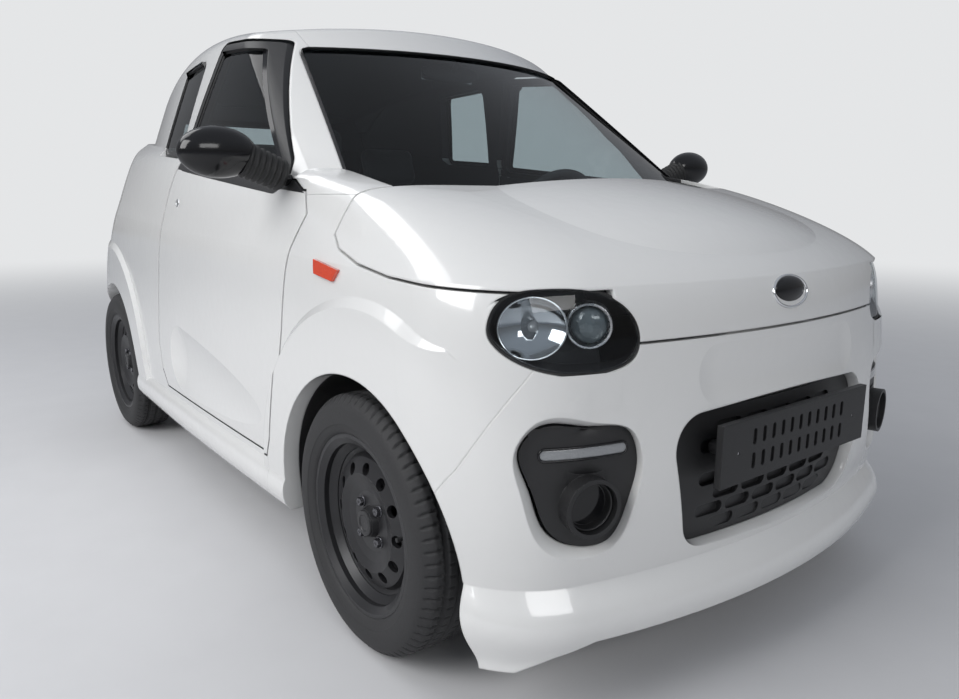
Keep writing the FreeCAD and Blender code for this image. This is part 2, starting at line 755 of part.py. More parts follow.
def make_front(env):
    """Bonnet, bumper and right wing, cut from the shell ahead of the doors."""
    shell = env.body.common(box(430, FAR, -FAR, FAR, 0, 1200)).cut(env.front_in)
    cuts = [headlamp_pocket(HEADLAMP_BEVEL), fog_pocket(FOG_BEVEL)]
    cuts += [mirrored(cut) for cut in cuts]
    cuts += [grille_pocket(GRILLE_BEVEL), arch_hole(FRONT_AXLE_X, RIGHT), arch_hole(FRONT_AXLE_X, LEFT)]
    shell = shell.cut(cuts)
    bonnet = env.lower.common(bonnet_region()).cut([env.bonnet_in] + cuts)
    bumper = shell.common(bumper_region())
    wing = shell.common(box(WING_REAR_X, FAR, -FAR, -WING_INNER_Y, 0, PILLAR_BASE_Z))
    wing = wing.cut([bonnet_region(PANEL_GAP), bumper_region(), door_space()])
    return largest(bonnet), largest(bumper), largest(wing)


def tailgate_region(growth=0):
    """Space behind the roof split inside the tailgate outline."""
    wire = grown(front_wire(TAILGATE_OUTLINE, -1700), growth)
    return extruded(wire, V(1700 + TAILGATE_SPLIT_X + growth, 0, 0))


def rear_glass_prism():
    """Rear window outline extruded along the car."""
    wire = rounded(front_wire(REAR_GLASS_OUTLINE, -1700), REAR_GLASS_CORNER)
    return extruded(wire, V(800, 0, 0))


def make_sides(env):
    """Right body side, roof and rear bumper."""
    shell = env.body.cut(env.cabin)
    upper_half = box(WING_REAR_X, FAR, -FAR, FAR, 0, PILLAR_BASE_Z)
    bumper_zone = box(-FAR, REAR_BUMPER_X, -FAR, FAR, 0, REAR_BUMPER_TOP_Z)
    holes = [upper_half, screen_prism(), tailgate_region(PANEL_GAP), arch_hole(REAR_AXLE_X, RIGHT)]
    shell = shell.cut(holes)
    frame_room = flank(grown(frame_wire(), FRAME_GAP))
    roof = shell.common(box(-FAR, FAR, -ROOF_HALF, ROOF_HALF, 1250, FAR)).cut([frame_room, mirrored(frame_room)])
    quarter = flank(rounded(side_wire(QUARTER_GLASS), WINDOW_CORNER_RADIUS))
    side = shell.common(box(-FAR, FAR, -FAR, -ROOF_HALF, 0, FAR))
    side = side.cut([door_space(), quarter, bumper_zone, tail_lamp_bore(), bonnet_region(PANEL_GAP)])
    tail = env.body.cut(env.side_in).common(bumper_zone)
    tail = tail.cut([arch_hole(REAR_AXLE_X, RIGHT), arch_hole(REAR_AXLE_X, LEFT), tailgate_region(PANEL_GAP)])
    quarter_glass = quarter.common(env.glass_out).cut(env.glass_in)
    return largest(side), largest(roof), largest(tail), largest(quarter_glass)


def make_tailgate(env):
    """Tailgate shell and its glass."""
    prism = rear_glass_prism()
    shell = env.body.common(tailgate_region()).cut([env.cabin, prism])
    glass = prism.common(env.glass_out).cut(env.glass_in)
    return largest(shell), largest(glass)


def tail_lamp_bore(growth=0):
    """Round recess of the right tail lamp."""
    aim = level_aim(TAIL_LAMP_TURN)
    return Part.makeCylinder(TAIL_LAMP_RADIUS + growth, 400, TAIL_LAMP_CENTRE - aim * 60, aim)


def revolved(profile, centre, side):
    """Ring from (radius, outward) points turned about a wheel axis."""
    points = [V(centre.x, centre.y + side * out, centre.z + radius) for radius, out in profile]
    return Part.Face(polygon(points)).revolve(centre, Y_AXIS, 360)


def make_wheel(axle_x, side):
    """Steel rim with vented disc, and the tyre on its bead seats."""
    centre = V(axle_x, side * WHEEL_PLANE_Y, TYRE_RADIUS)
    barrel = revolved(RIM_PROFILE, centre, side)
    disc = revolved(DISC_PROFILE, centre, side)
    rim = barrel.fuse(disc)
    axis = V(0, side, 0)
    start = centre - axis * 100
    cuts = [Part.makeCylinder(HUB_BORE_RADIUS, 100 + HUB_BORE_END, start, axis)]
    for index in range(VENT_COUNT):
        angle = 2 * math.pi * index / VENT_COUNT
        offset = V(math.cos(angle), 0, math.sin(angle)) * VENT_CIRCLE_RADIUS
        cuts.append(Part.makeCylinder(VENT_RADIUS, 200, start + offset, axis))
    rim = rim.cut(cuts)
    tyre = revolved(TYRE_PROFILE, centre, side)
    return largest(rim), tyre


def along_kingpin(height):
    """Point of the right steering axis at a height."""
    share = (height - KINGPIN_LOW.z) / (KINGPIN_TOP.z - KINGPIN_LOW.z)
    return KINGPIN_LOW + (KINGPIN_TOP - KINGPIN_LOW) * share


def make_knuckle():
    """Right hub carrier with its stub, its ball boss and its strut clamp."""
    centre = V(FRONT_AXLE_X, -WHEEL_PLANE_Y, TYRE_RADIUS)
    axis = V(0, -1, 0)
    carrier = Part.makeCylinder(CARRIER_RADIUS, CARRIER_LENGTH, centre - axis * CARRIER_INNER, axis)
    stub = Part.makeCylinder(HUB_BORE_RADIUS - RUNNING_CLEARANCE, CARRIER_INNER + STUB_END,
                             centre - axis * CARRIER_INNER, axis)
    clamp = rod(along_kingpin(CLAMP_LOW_Z), along_kingpin(CLAMP_TOP_Z), CLAMP_RADIUS)
    boss = rod(along_kingpin(BALL_TOP_Z), along_kingpin(CLAMP_LOW_Z), BALL_RADIUS)
    return fused([carrier, stub, clamp, boss])


def make_suspension():
    """Right strut with spring, and the lower arm with its ball boss."""
    axis = unit(KINGPIN_TOP - KINGPIN_LOW)
    foot = along_kingpin(CLAMP_TOP_Z) + axis * STRUT_GAP
    strut = rod(foot, along_kingpin(SPRING_TOP_Z), STRUT_RADIUS)
    spring = rod(along_kingpin(SPRING_LOW_Z), along_kingpin(SPRING_TOP_Z), SPRING_RADIUS)
    ball_top = along_kingpin(BALL_TOP_Z) - axis * STRUT_GAP
    ball = rod(ball_top - axis * ARM_THICKNESS, ball_top, BALL_RADIUS)
    inner_y = -(RAIL_Y + RAIL_HALF_WIDTH)
    foot_y = -RAIL_Y
    z = ball_top.z - ARM_THICKNESS - ARM_DROP
    arms = []
    for x in (FRONT_AXLE_X - ARM_SPREAD, FRONT_AXLE_X + ARM_SPREAD):
        points = [V(FRONT_AXLE_X - 14, ball_top.y + 8, z), V(FRONT_AXLE_X + 14, ball_top.y + 8, z),
                  V(x + 16, foot_y, z), V(x - 16, foot_y, z)]
        arms.append(Part.Face(hull_wire(points)).extrude(V(0, 0, ARM_THICKNESS)))
        arms.append(box(x - 16, x + 16, inner_y, foot_y, z, RAIL_BOTTOM_Z))
    tower = box(FRONT_AXLE_X - 60, FRONT_AXLE_X + 60, -TOWER_OUTER_Y, inner_y + 2 * RAIL_HALF_WIDTH,
                SPRING_TOP_Z - 2, SPRING_TOP_Z + 8)
    return fused([strut, spring]), largest(fused([ball] + arms)), tower


def hull_wire(points):
    """Closed wire round four level points in angular order."""
    middle = (points[0] + points[1] + points[2] + points[3]) * 0.25
    ordered = sorted(points, key=lambda p: math.atan2(p.y - middle.y, p.x - middle.x))
    return polygon(ordered)


def make_seats():
    """Right seat: base, cushion, and back with headrest and posts."""
    y0, y1 = -SEAT_Y - SEAT_WIDTH / 2, -SEAT_Y + SEAT_WIDTH / 2
    base = box(SEAT_REAR_X + 60, SEAT_FRONT_X - 60, y0 + 50, y1 - 50, FLOOR_Z + FLOOR_THICKNESS, SEAT_BASE_Z)
    cushion = box(SEAT_REAR_X, SEAT_FRONT_X, y0, y1, SEAT_BASE_Z + SOFT_GAP, SEAT_TOP_Z)
    cushion = cushion.makeFillet(SEAT_CORNER, cushion.Edges)
    back = box(-SEAT_BACK_THICKNESS, 0, y0, y1, 0, SEAT_BACK_HEIGHT)
    back = back.makeFillet(SEAT_CORNER, back.Edges)
    head_z = SEAT_BACK_HEIGHT + HEADREST_RISE
    middle = -SEAT_BACK_THICKNESS / 2
    head = box(middle - HEADREST_THICKNESS / 2, middle + HEADREST_THICKNESS / 2,
               -SEAT_Y - HEADREST_WIDTH / 2, -SEAT_Y + HEADREST_WIDTH / 2, head_z, head_z + HEADREST_HEIGHT)
    head = head.makeFillet(SEAT_CORNER - 4, head.Edges)
    posts = []
    for offset in (-POST_SPACING / 2, POST_SPACING / 2):
        foot = V(middle, -SEAT_Y + offset, SEAT_BACK_HEIGHT - 60)
        posts.append(Part.makeCylinder(POST_RADIUS, HEADREST_RISE + 90, foot, Z_AXIS))
    back = fused([back, head] + posts)
    back.rotate(ORIGIN, Y_AXIS, -SEAT_BACK_ANGLE)
    back.translate(V(SEAT_REAR_X - SOFT_GAP - 32, 0, SEAT_BASE_Z + 6))
    bounds = back.optimalBoundingBox(False, False)
    top = bounds.ZMin - SOFT_GAP
    heel = SEAT_REAR_X + SEAT_HEEL_OFFSET
    bracket = box(heel, SEAT_REAR_X + 80, y0 + 50, y1 - 50, top - SEAT_BRACKET, top)
    return fused([base, bracket]), cushion, back


def ellipsoid(centre, axes):
    """Ball stretched along the three axes."""
    matrix = FreeCAD.Matrix()
    matrix.scale(V(*axes))
    ball = Part.makeSphere(1).transformGeometry(matrix)
    ball.translate(centre)
    return ball


def make_mirror(env):
    """Right door mirror: oval shell and ribbed arm standing on the window frame."""
    shell = ellipsoid(MIRROR_CENTRE, MIRROR_AXES)
    start, end = MIRROR_ARM
    parts = [shell, rod(start - unit(end - start) * 12, end, MIRROR_ARM_RADIUS)]
    step = (end - start) / MIRROR_RIB_COUNT
    for index in range(MIRROR_RIB_COUNT - 2):
        foot = start + step * index
        parts.append(rod(foot, foot + step * 0.5, MIRROR_ARM_RADIUS + MIRROR_RIB_RISE))
    return largest(fused(parts).cut([env.upper, lower_body()]))


def recessed(prism, outer, inner):
    """Curved plate across an opening, between two inset body solids."""
    return largest(prism.common(outer).cut(inner))


def make_front_fittings(env):
    """Lamps, pods, grille, plate carrier, badge, repeaters and cowl."""
    nodes = {}
    lamp = headlamp_pocket()
    lens_in = lower_body(HEADLAMP_LENS_INSET + HEADLAMP_LENS)
    lens = recessed(lamp, lower_body(HEADLAMP_LENS_INSET), lens_in)
    room = pocket(swollen(HEADLAMP_OUTLINE, -HEADLAMP_WALL), HEADLAMP_CENTRE, level_aim(HEADLAMP_TURN), 0)
    bowl = lamp.common(lens_in).cut([lower_body(HEADLAMP_DEPTH), room.cut(lower_body(HEADLAMP_DEPTH - HEADLAMP_WALL))])
    nodes["headlamp_glasses"] = both_sides(lens)
    nodes["headlamp_bodies"] = both_sides(largest(bowl))
    aim = level_aim(FOG_TURN)
    across = aim.cross(Z_AXIS).normalize()
    facing = level_aim(FOG_TUBE_TURN)
    mouth = FOG_CENTRE + across * FOG_TUBE_OFFSET[0] + Z_AXIS * FOG_TUBE_OFFSET[1] + aim * FOG_TUBE_LENGTH
    tube = rod(mouth - facing * FOG_TUBE_DEPTH, mouth, FOG_TUBE_RADIUS)
    bore = rod(mouth - facing * FOG_BORE_DEPTH, mouth + facing, FOG_TUBE_RADIUS - FOG_TUBE_WALL)
    bar = extruded(smooth_wire(FOG_BAR_OUTLINE, FOG_CENTRE, aim, -POCKET_REACH), aim * 2 * POCKET_REACH)
    bar = bar.cut(lower_body(BONNET_WALL + FOG_BAR_DEPTH))
    pod = recessed(fog_pocket(), env.bonnet_in, env.side_in).fuse(tube.common(fog_pocket())).cut([bore, bar])
    nodes["fog_pods"] = both_sides(largest(pod))
    grille = recessed(grille_pocket(), env.front_in, env.side_in)
    grille = grille.cut(grille_cells())
    boss_y = PLATE_SCREW_SPACING / 2
    plate = box(PLATE_BACK_X, PLATE_BACK_X + PLATE_THICKNESS, -PLATE_HALF_WIDTH, PLATE_HALF_WIDTH,
                PLATE_CENTRE_Z - PLATE_HEIGHT / 2, PLATE_CENTRE_Z + PLATE_HEIGHT / 2)
    for y in (-boss_y, boss_y):
        foot = V(PLATE_BACK_X - 45, y, PLATE_CENTRE_Z)
        boss = rod(foot, V(PLATE_BACK_X, y, PLATE_CENTRE_Z), PLATE_BOSS_RADIUS).cut(grille)
        plate = plate.fuse(furthest_forward(boss))
        plate = plate.cut(rod(V(PLATE_BACK_X - 8, y, PLATE_CENTRE_Z), V(FAR, y, PLATE_CENTRE_Z), PLATE_SCREW_RADIUS))
    plate = plate.cut(plate_slots())
    nodes["front_grille"] = grille
    nodes["front_plate_carrier"] = plate
    badge = ellipsoid(V(BADGE_X, 0, BADGE_Z), (BADGE_DEPTH, BADGE_HALF_WIDTH, BADGE_HALF_HEIGHT))
    plain = lower_body()
    nodes["badge"] = largest(badge.cut(plain))
    repeater = flank(side_wire(REPEATER_OUTLINE))
    proud = repeater.common(lower_body(-REPEATER_RISE)).cut(plain)
    nodes["side_repeaters"] = both_sides(largest(proud))
    shelf = env.front_in.common(box(FIREWALL_X + FIREWALL_SHEET, 1000, -690, 690, COWL_Z - COWL_SHEET, COWL_Z))
    screen_half, screen_base = SCREEN_OUTLINE[1]
    lip_zone = box(FIREWALL_X + FIREWALL_SHEET, FAR, -screen_half, screen_half, COWL_Z, screen_base)
    upstand = upper_body(COWL_INSET).common(lip_zone).cut(upper_body(COWL_INSET + COWL_UPSTAND))
    nodes["cowl_panel"] = largest(shelf.cut(bonnet_region(PANEL_GAP)).fuse(upstand))
    return nodes


def slot(x, y, z, half_width, half_height, depth):
    """Slot with round ends, longer side up or level, cut backwards from x."""
    radius = min(half_width, half_height)
    middle = V(x, y, z)
    run = V(0, half_width - radius, half_height - radius)
    out = unit(run) * radius
    across = X_AXIS.cross(out)
    first, second = middle + run - across, middle + run + across
    third, fourth = middle - run + across, middle - run - across
    edges = [Part.Arc(first, middle + run + out, second).toShape(), Part.makeLine(second, third),
             Part.Arc(third, middle - run - out, fourth).toShape(), Part.makeLine(fourth, first)]
    return extruded(Part.Wire(edges), X_AXIS * -depth)


def grille_cells():
    """Brick pattern of flat oval hollows that follow the curve of the grille."""
    cells = []
    for row in range(CELL_ROWS):
        z = CELL_LOW_Z + row * CELL_PITCH_Z
        shift = CELL_PITCH_Y / 2 if row % 2 else 0
        for column in range(-CELL_COLUMNS, CELL_COLUMNS + 1):
            y = column * CELL_PITCH_Y + shift
            if abs(y) < CELL_LIMIT_Y:
                depth = CELL_REACH + y * y / (2 * LOWER_RINGS[2][5])
                cells.append(slot(CELL_FRONT_X, y, z, CELL_HALF_WIDTH, CELL_HALF_HEIGHT, depth))
    return cells


def plate_slots():
    """Slots through the plate carrier in two rows between its screws."""
    cuts = []
    for z in (PLATE_CENTRE_Z - PLATE_SLOT_RISE, PLATE_CENTRE_Z + PLATE_SLOT_RISE):
        for index in range(-PLATE_SLOT_COUNT, PLATE_SLOT_COUNT + 1):
            y = index * PLATE_SLOT_PITCH
            cuts.append(slot(PLATE_BACK_X + 2 * PLATE_THICKNESS, y, z, PLATE_SLOT_HALF_WIDTH, PLATE_SLOT_HALF_HEIGHT,
                             PLATE_THICKNESS + PLATE_SLOT_DEPTH))
    return cuts


def furthest_forward(shape):
    """Solid of a shape that lies furthest forward."""
    return max(shape.Solids, key=lambda solid: solid.CenterOfMass.x)


def make_rear_fittings(env):
    """Tail lamps and the recessed rear plate face."""
    lamp = recessed(tail_lamp_bore(), env.body, env.side_in)
    return {"tail_lamps": both_sides(lamp)}


def make_inside(env):
    """Floor, bulkhead, dashboard, seats, steering column and wheel, inner mirror."""
    nodes = {}
    arches = []
    for axle_x in (FRONT_AXLE_X, REAR_AXLE_X):
        for side in (RIGHT, LEFT):
            arches.append(arch_hole(axle_x, side, ARCH_RADIUS + LINER_SHEET))
    thick = FLOOR_THICKNESS
    pan = box(BOOT_STEP_X, FIREWALL_X + FIREWALL_SHEET, -800, 800, FLOOR_Z, FLOOR_Z + thick)
    pan = pan.fuse([box(BOOT_STEP_X - thick, BOOT_STEP_X, -800, 800, FLOOR_Z, BOOT_FLOOR_Z + thick),
                    box(-1460, BOOT_STEP_X - thick, -800, 800, BOOT_FLOOR_Z, BOOT_FLOOR_Z + thick)])
    wall = box(FIREWALL_X, FIREWALL_X + FIREWALL_SHEET, -FIREWALL_HALF, FIREWALL_HALF, FLOOR_Z, COWL_Z)
    pan = pan.common(env.side_in).cut([door_space(), mirrored(door_space())])
    floor = pan.fuse(wall.common(env.front_in)).cut(arches)
    nodes["floor_pan"] = largest(floor.removeSplitter())
    dash = extruded(side_wire(DASH_OUTLINE, -DASH_HALF), V(0, 2 * DASH_HALF, 0))
    footwell = env.side_in.common(box(-FAR, FIREWALL_X, -FAR, FAR, 0, FAR))
    dash = dash.common(env.upper_in.fuse(footwell))
    base, cushion, back = make_seats()
    nodes["seat_bases"] = both_sides(base)
    nodes["seat_cushions"] = both_sides(cushion)
    nodes["seat_backs"] = both_sides(back)
    tilt = math.radians(STEERING_TILT)
    axis = V(-math.cos(tilt), 0, math.sin(tilt))
    hub_foot = STEERING_CENTRE - axis * 48
    column = rod(STEERING_CENTRE - axis * 330, hub_foot - axis * STRUT_GAP, COLUMN_RADIUS)
    wheel = Part.makeTorus(STEERING_RADIUS, STEERING_RIM_RADIUS, STEERING_CENTRE, axis)
    hub = rod(hub_foot, STEERING_CENTRE - axis * 8, STEERING_HUB_RADIUS)
    spokes = []
    up = V(math.sin(tilt), 0, math.cos(tilt))
    for turn in (0, 180, 270):
        angle = math.radians(turn)
        end = STEERING_CENTRE + (Y_AXIS * math.cos(angle) + up * math.sin(angle)) * STEERING_RADIUS
        spokes.append(rod(STEERING_CENTRE - axis * 26, end, 10))
    nodes["steering_wheel"] = fused([wheel, hub] + spokes)
    nodes["steering_column"] = column
    nodes["dashboard"] = largest(dash.cut(column))
    glass = upper_body(GLASS_INSET + GLASS_THICKNESS)
    foot = INNER_MIRROR_CENTRE + V(40, 0, 30)
    mirror = ellipsoid(INNER_MIRROR_CENTRE, (16, 105, 30)).fuse(rod(INNER_MIRROR_CENTRE, foot + V(60, 0, 45), 9))
    nodes["inner_mirror"] = largest(mirror.common(glass))
    return nodes


def make_liners(env):
    """Half tube liners inside the four wheel arches."""
    solids = []
    for axle_x, inner in ((FRONT_AXLE_X, env.front_in), (REAR_AXLE_X, env.side_in)):
        outer = arch_hole(axle_x, RIGHT, ARCH_RADIUS + LINER_SHEET)
        ring_space = outer.cut(arch_hole(axle_x, RIGHT))
        ring_space = ring_space.common(box(-FAR, FAR, -FAR, 0, LINER_LOW_Z, FAR))
        solids.append(largest(ring_space.common(inner)))
    return Part.makeCompound(solids + [mirrored(solid) for solid in solids])


def make_chassis(env):
    """Rails, engine block, suspension, rear axle and exhaust."""
    nodes = {}
    liners = make_liners(env)
    rail_top = FLOOR_Z
    rails = []
    for side in (RIGHT, LEFT):
        y = side * RAIL_Y
        rails.append(box(-RAIL_END_X, RAIL_END_X, y - RAIL_HALF_WIDTH, y + RAIL_HALF_WIDTH, RAIL_BOTTOM_Z, rail_top))
    for x in CROSS_RAILS_X:
        rails.append(box(x - RAIL_HALF_WIDTH, x + RAIL_HALF_WIDTH, -RAIL_Y, RAIL_Y, RAIL_BOTTOM_Z, rail_top))
    strut, arm, tower = make_suspension()
    legs = []
    for side in (RIGHT, LEFT):
        y = side * (RAIL_Y + RAIL_HALF_WIDTH)
        y0, y1 = sorted((side * RAIL_Y, y))
        for x in (FRONT_AXLE_X - 60, FRONT_AXLE_X + 44):
            legs.append(box(x, x + 16, y0, y1, rail_top, SPRING_TOP_Z))
        middle = side * RAIL_Y
        legs.append(box(JACK_X - JACK_HALF_LENGTH, JACK_X + JACK_HALF_LENGTH, middle - JACK_HALF_WIDTH,
                        middle + JACK_HALF_WIDTH, JACK_Z, RAIL_BOTTOM_Z))
    nodes["chassis_frame"] = fused(rails + legs + [tower, mirrored(tower)])
    x0, x1, z0, z1 = ENGINE_BOX
    inner = RAIL_Y - RAIL_HALF_WIDTH
    nodes["engine_block"] = box(x0, x1, -inner, inner, z0, z1)
    struts = strut.cut(tower)
    nodes["front_struts"] = both_sides(largest(struts))
    nodes["lower_arms"] = both_sides(arm)
    shaft = rod(V(FRONT_AXLE_X, -inner, TYRE_RADIUS), V(FRONT_AXLE_X, -SHAFT_END_Y, TYRE_RADIUS), SHAFT_RADIUS)
    nodes["drive_shafts"] = both_sides(shaft)
    hub = V(REAR_AXLE_X, -WHEEL_PLANE_Y, TYRE_RADIUS)
    arm_end = V(REAR_AXLE_X, -TRAIL_ARM_Y, TYRE_RADIUS)
    pivot = V(TRAIL_PIVOT_X, -TRAIL_ARM_Y + 110, TYRE_RADIUS - 62)
    parts = []
    stub = rod(arm_end, hub + V(0, -STUB_END, 0), HUB_BORE_RADIUS - RUNNING_CLEARANCE)
    carrier = rod(arm_end, V(REAR_AXLE_X, -WHEEL_PLANE_Y + CARRIER_INNER - CARRIER_LENGTH, TYRE_RADIUS), CARRIER_RADIUS)
    trail = rod(arm_end, pivot, TRAIL_TUBE_RADIUS)
    bush = rod(pivot + V(0, -26, 0), V(TRAIL_PIVOT_X, -(RAIL_Y + RAIL_HALF_WIDTH), pivot.z), 24)
    damper = rod(V(DAMPER_X, -TRAIL_ARM_Y + 18, TYRE_RADIUS - 10), V(DAMPER_X, -TRAIL_ARM_Y + 18, DAMPER_TOP_Z), 24)
    parts = [stub, carrier, trail, bush, damper]
    cross = rod(V(TRAIL_PIVOT_X - 250, -TRAIL_ARM_Y + 62, TYRE_RADIUS - 35),
                V(TRAIL_PIVOT_X - 250, TRAIL_ARM_Y - 62, TYRE_RADIUS - 35), 22)
    axle = fused(parts + [mirrored(part) for part in parts] + [cross])
    axle = axle.cut(nodes["chassis_frame"])
    nodes["rear_axle"] = axle
    nodes["wheel_arch_liners"] = liners.cut([axle, nodes["front_struts"]])
    return nodes


def emit_all():
    """Model every piece and keep it under its node name."""
    env = Envelope()
    nodes = {}
    door, frame, glass = make_door(env)
    bonnet, bumper, wing = make_front(env)
    side, roof, tail, quarter_glass = make_sides(env)
    gate, gate_glass = make_tailgate(env)
    screen = largest(screen_prism().common(env.glass_out).cut(env.glass_in))
    pairs = {"door": door, "door_frame": frame, "door_glass": glass, "front_wing": wing,
             "body_side": side, "door_mirror": make_mirror(env), "knuckle": make_knuckle()}
    for name, shape in pairs.items():
        nodes[name + "_right"] = shape
        nodes[name + "_left"] = mirrored(shape)
    nodes["bonnet"] = bonnet
    nodes["front_bumper"] = bumper
    nodes["roof_panel"] = roof
    nodes["rear_bumper"] = tail
    nodes["tailgate"] = gate
    nodes["tailgate_glass"] = gate_glass
    nodes["fixed_glass"] = Part.makeCompound([screen, quarter_glass, mirrored(quarter_glass)])
    nodes.update(make_front_fittings(env))
    nodes.update(make_rear_fittings(env))
    nodes.update(make_inside(env))
    nodes.update(make_chassis(env))
    for axle, axle_x in (("front", FRONT_AXLE_X), ("rear", REAR_AXLE_X)):
        for word, turn in (("right", RIGHT), ("left", LEFT)):
            rim, tyre = make_wheel(axle_x, turn)
            nodes["rim_" + axle + "_" + word] = rim
            nodes["tyre_" + axle + "_" + word] = tyre
    return nodes


def main():
    """Write one file for each piece."""
    os.makedirs("parts", exist_ok=True)
    for name, shape in emit_all().items():
        shape.exportStep("parts/" + name + ".step")
        print(name, len(shape.Solids), shape.isValid(), round(shape.Volume / 1000))


main()
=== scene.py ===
"""Dressed model of a light two-seat car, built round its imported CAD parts.

The CAD nodes keep their shape and get procedural finishes. Tyres, seats, lamp
internals, seals and small fittings are modelled here. Units are metres, +X is
forward, +Y is the car's left side and +Z is up.
"""

import json
import logging
import math
from dataclasses import dataclass, field
from enum import Enum

import bpy
import numpy as np
from mathutils import Matrix, Vector
from mathutils.bvhtree import BVHTree


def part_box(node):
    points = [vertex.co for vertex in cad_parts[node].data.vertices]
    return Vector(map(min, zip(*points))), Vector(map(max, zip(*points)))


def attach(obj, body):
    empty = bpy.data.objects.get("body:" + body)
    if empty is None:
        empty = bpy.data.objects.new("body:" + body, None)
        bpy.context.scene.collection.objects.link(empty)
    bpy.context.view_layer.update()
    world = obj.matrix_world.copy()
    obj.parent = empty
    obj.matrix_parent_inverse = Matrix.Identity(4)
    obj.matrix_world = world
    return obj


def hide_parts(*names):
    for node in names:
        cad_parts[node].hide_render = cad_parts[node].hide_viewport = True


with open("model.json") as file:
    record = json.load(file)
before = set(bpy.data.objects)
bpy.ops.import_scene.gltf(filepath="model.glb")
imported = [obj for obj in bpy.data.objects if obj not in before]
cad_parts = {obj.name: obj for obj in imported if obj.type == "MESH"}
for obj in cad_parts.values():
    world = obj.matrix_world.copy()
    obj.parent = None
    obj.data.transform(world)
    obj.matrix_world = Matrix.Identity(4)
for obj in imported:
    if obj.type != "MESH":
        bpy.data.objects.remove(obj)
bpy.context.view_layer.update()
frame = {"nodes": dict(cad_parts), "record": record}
log = logging.getLogger("car")

Point = tuple[float, float, float]
Colour = tuple[float, float, float]
Pair = tuple[float, float]
Profile = tuple[Pair, ...]
Face = tuple[int, ...]
Socket = bpy.types.NodeSocket

CAR = "car"
AHEAD = Vector((1, 0, 0))
BACK = Vector((-1, 0, 0))
UP = Vector((0, 0, 1))
DOWN = Vector((0, 0, -1))


class Side(Enum):
    """The two sides of the car, with the sign of Y."""

    RIGHT = -1
    LEFT = 1

    @property
    def word(self) -> str:
        """Name of the side as node names spell it."""
        return self.name.lower()

    @property
    def door(self) -> str:
        """Body of the door on this side."""
        return f"door_{self.word}_body"


class Axle(Enum):
    """The two axles of the car."""

    FRONT = "front"
    REAR = "rear"


class Finish(Enum):
    """Finishes of the car, spelled as the record's slots where it has one."""

    BODY_PAINT = "body_paint"
    BLACK_TRIM = "black_trim"
    GLOSS_BLACK = "gloss_black"
    SIDE_GLASS = "side_glass"
    LAMP_GLASS = "lamp_glass"
    LAMP_BODY = "lamp_body"
    BADGE_BLACK = "badge_black"
    AMBER_LENS = "amber_lens"
    RED_LENS = "red_lens"
    CABIN_PLASTIC = "cabin_plastic"
    SEAT_FABRIC = "seat_fabric"
    FRAME_METAL = "frame_metal"
    DARK_METAL = "dark_metal"
    RIM_BLACK = "rim_black"
    TYRE = "tyre"
    SEAL_RUBBER = "seal_rubber"
    BRIGHT_STEEL = "bright_steel"
    MIRROR_SILVER = "mirror_silver"
    CHROME = "chrome"
    SATIN_SILVER = "satin_silver"
    BOLT_BLACK = "bolt_black"
    BOWL_CHROME = "bowl_chrome"
    PROJECTOR_GLASS = "projector_glass"
    LAMP_FROST = "lamp_frost"
    SMOKED_GLASS = "smoked_glass"


def mirrored(point: Point, side: Side) -> Point:
    """Point given for the right side, moved to the side asked for.

    Args:
        point: place on the right side.
        side: side of the car.

    Returns:
        The place on that side.
    """
    x, y, z = point
    return (x, y if side is Side.RIGHT else -y, z)


def turns(count: int) -> list[float]:
    """Angles at even steps round a circle."""
    return [2 * math.pi * index / count for index in range(count)]


def opaque(colour: Colour) -> tuple[float, float, float, float]:
    """Colour with full alpha."""
    return (*colour, 1.0)


def eased(share: float) -> float:
    """Share from 0 to 1 with a level start and end."""
    return share * share * (3 - 2 * share)


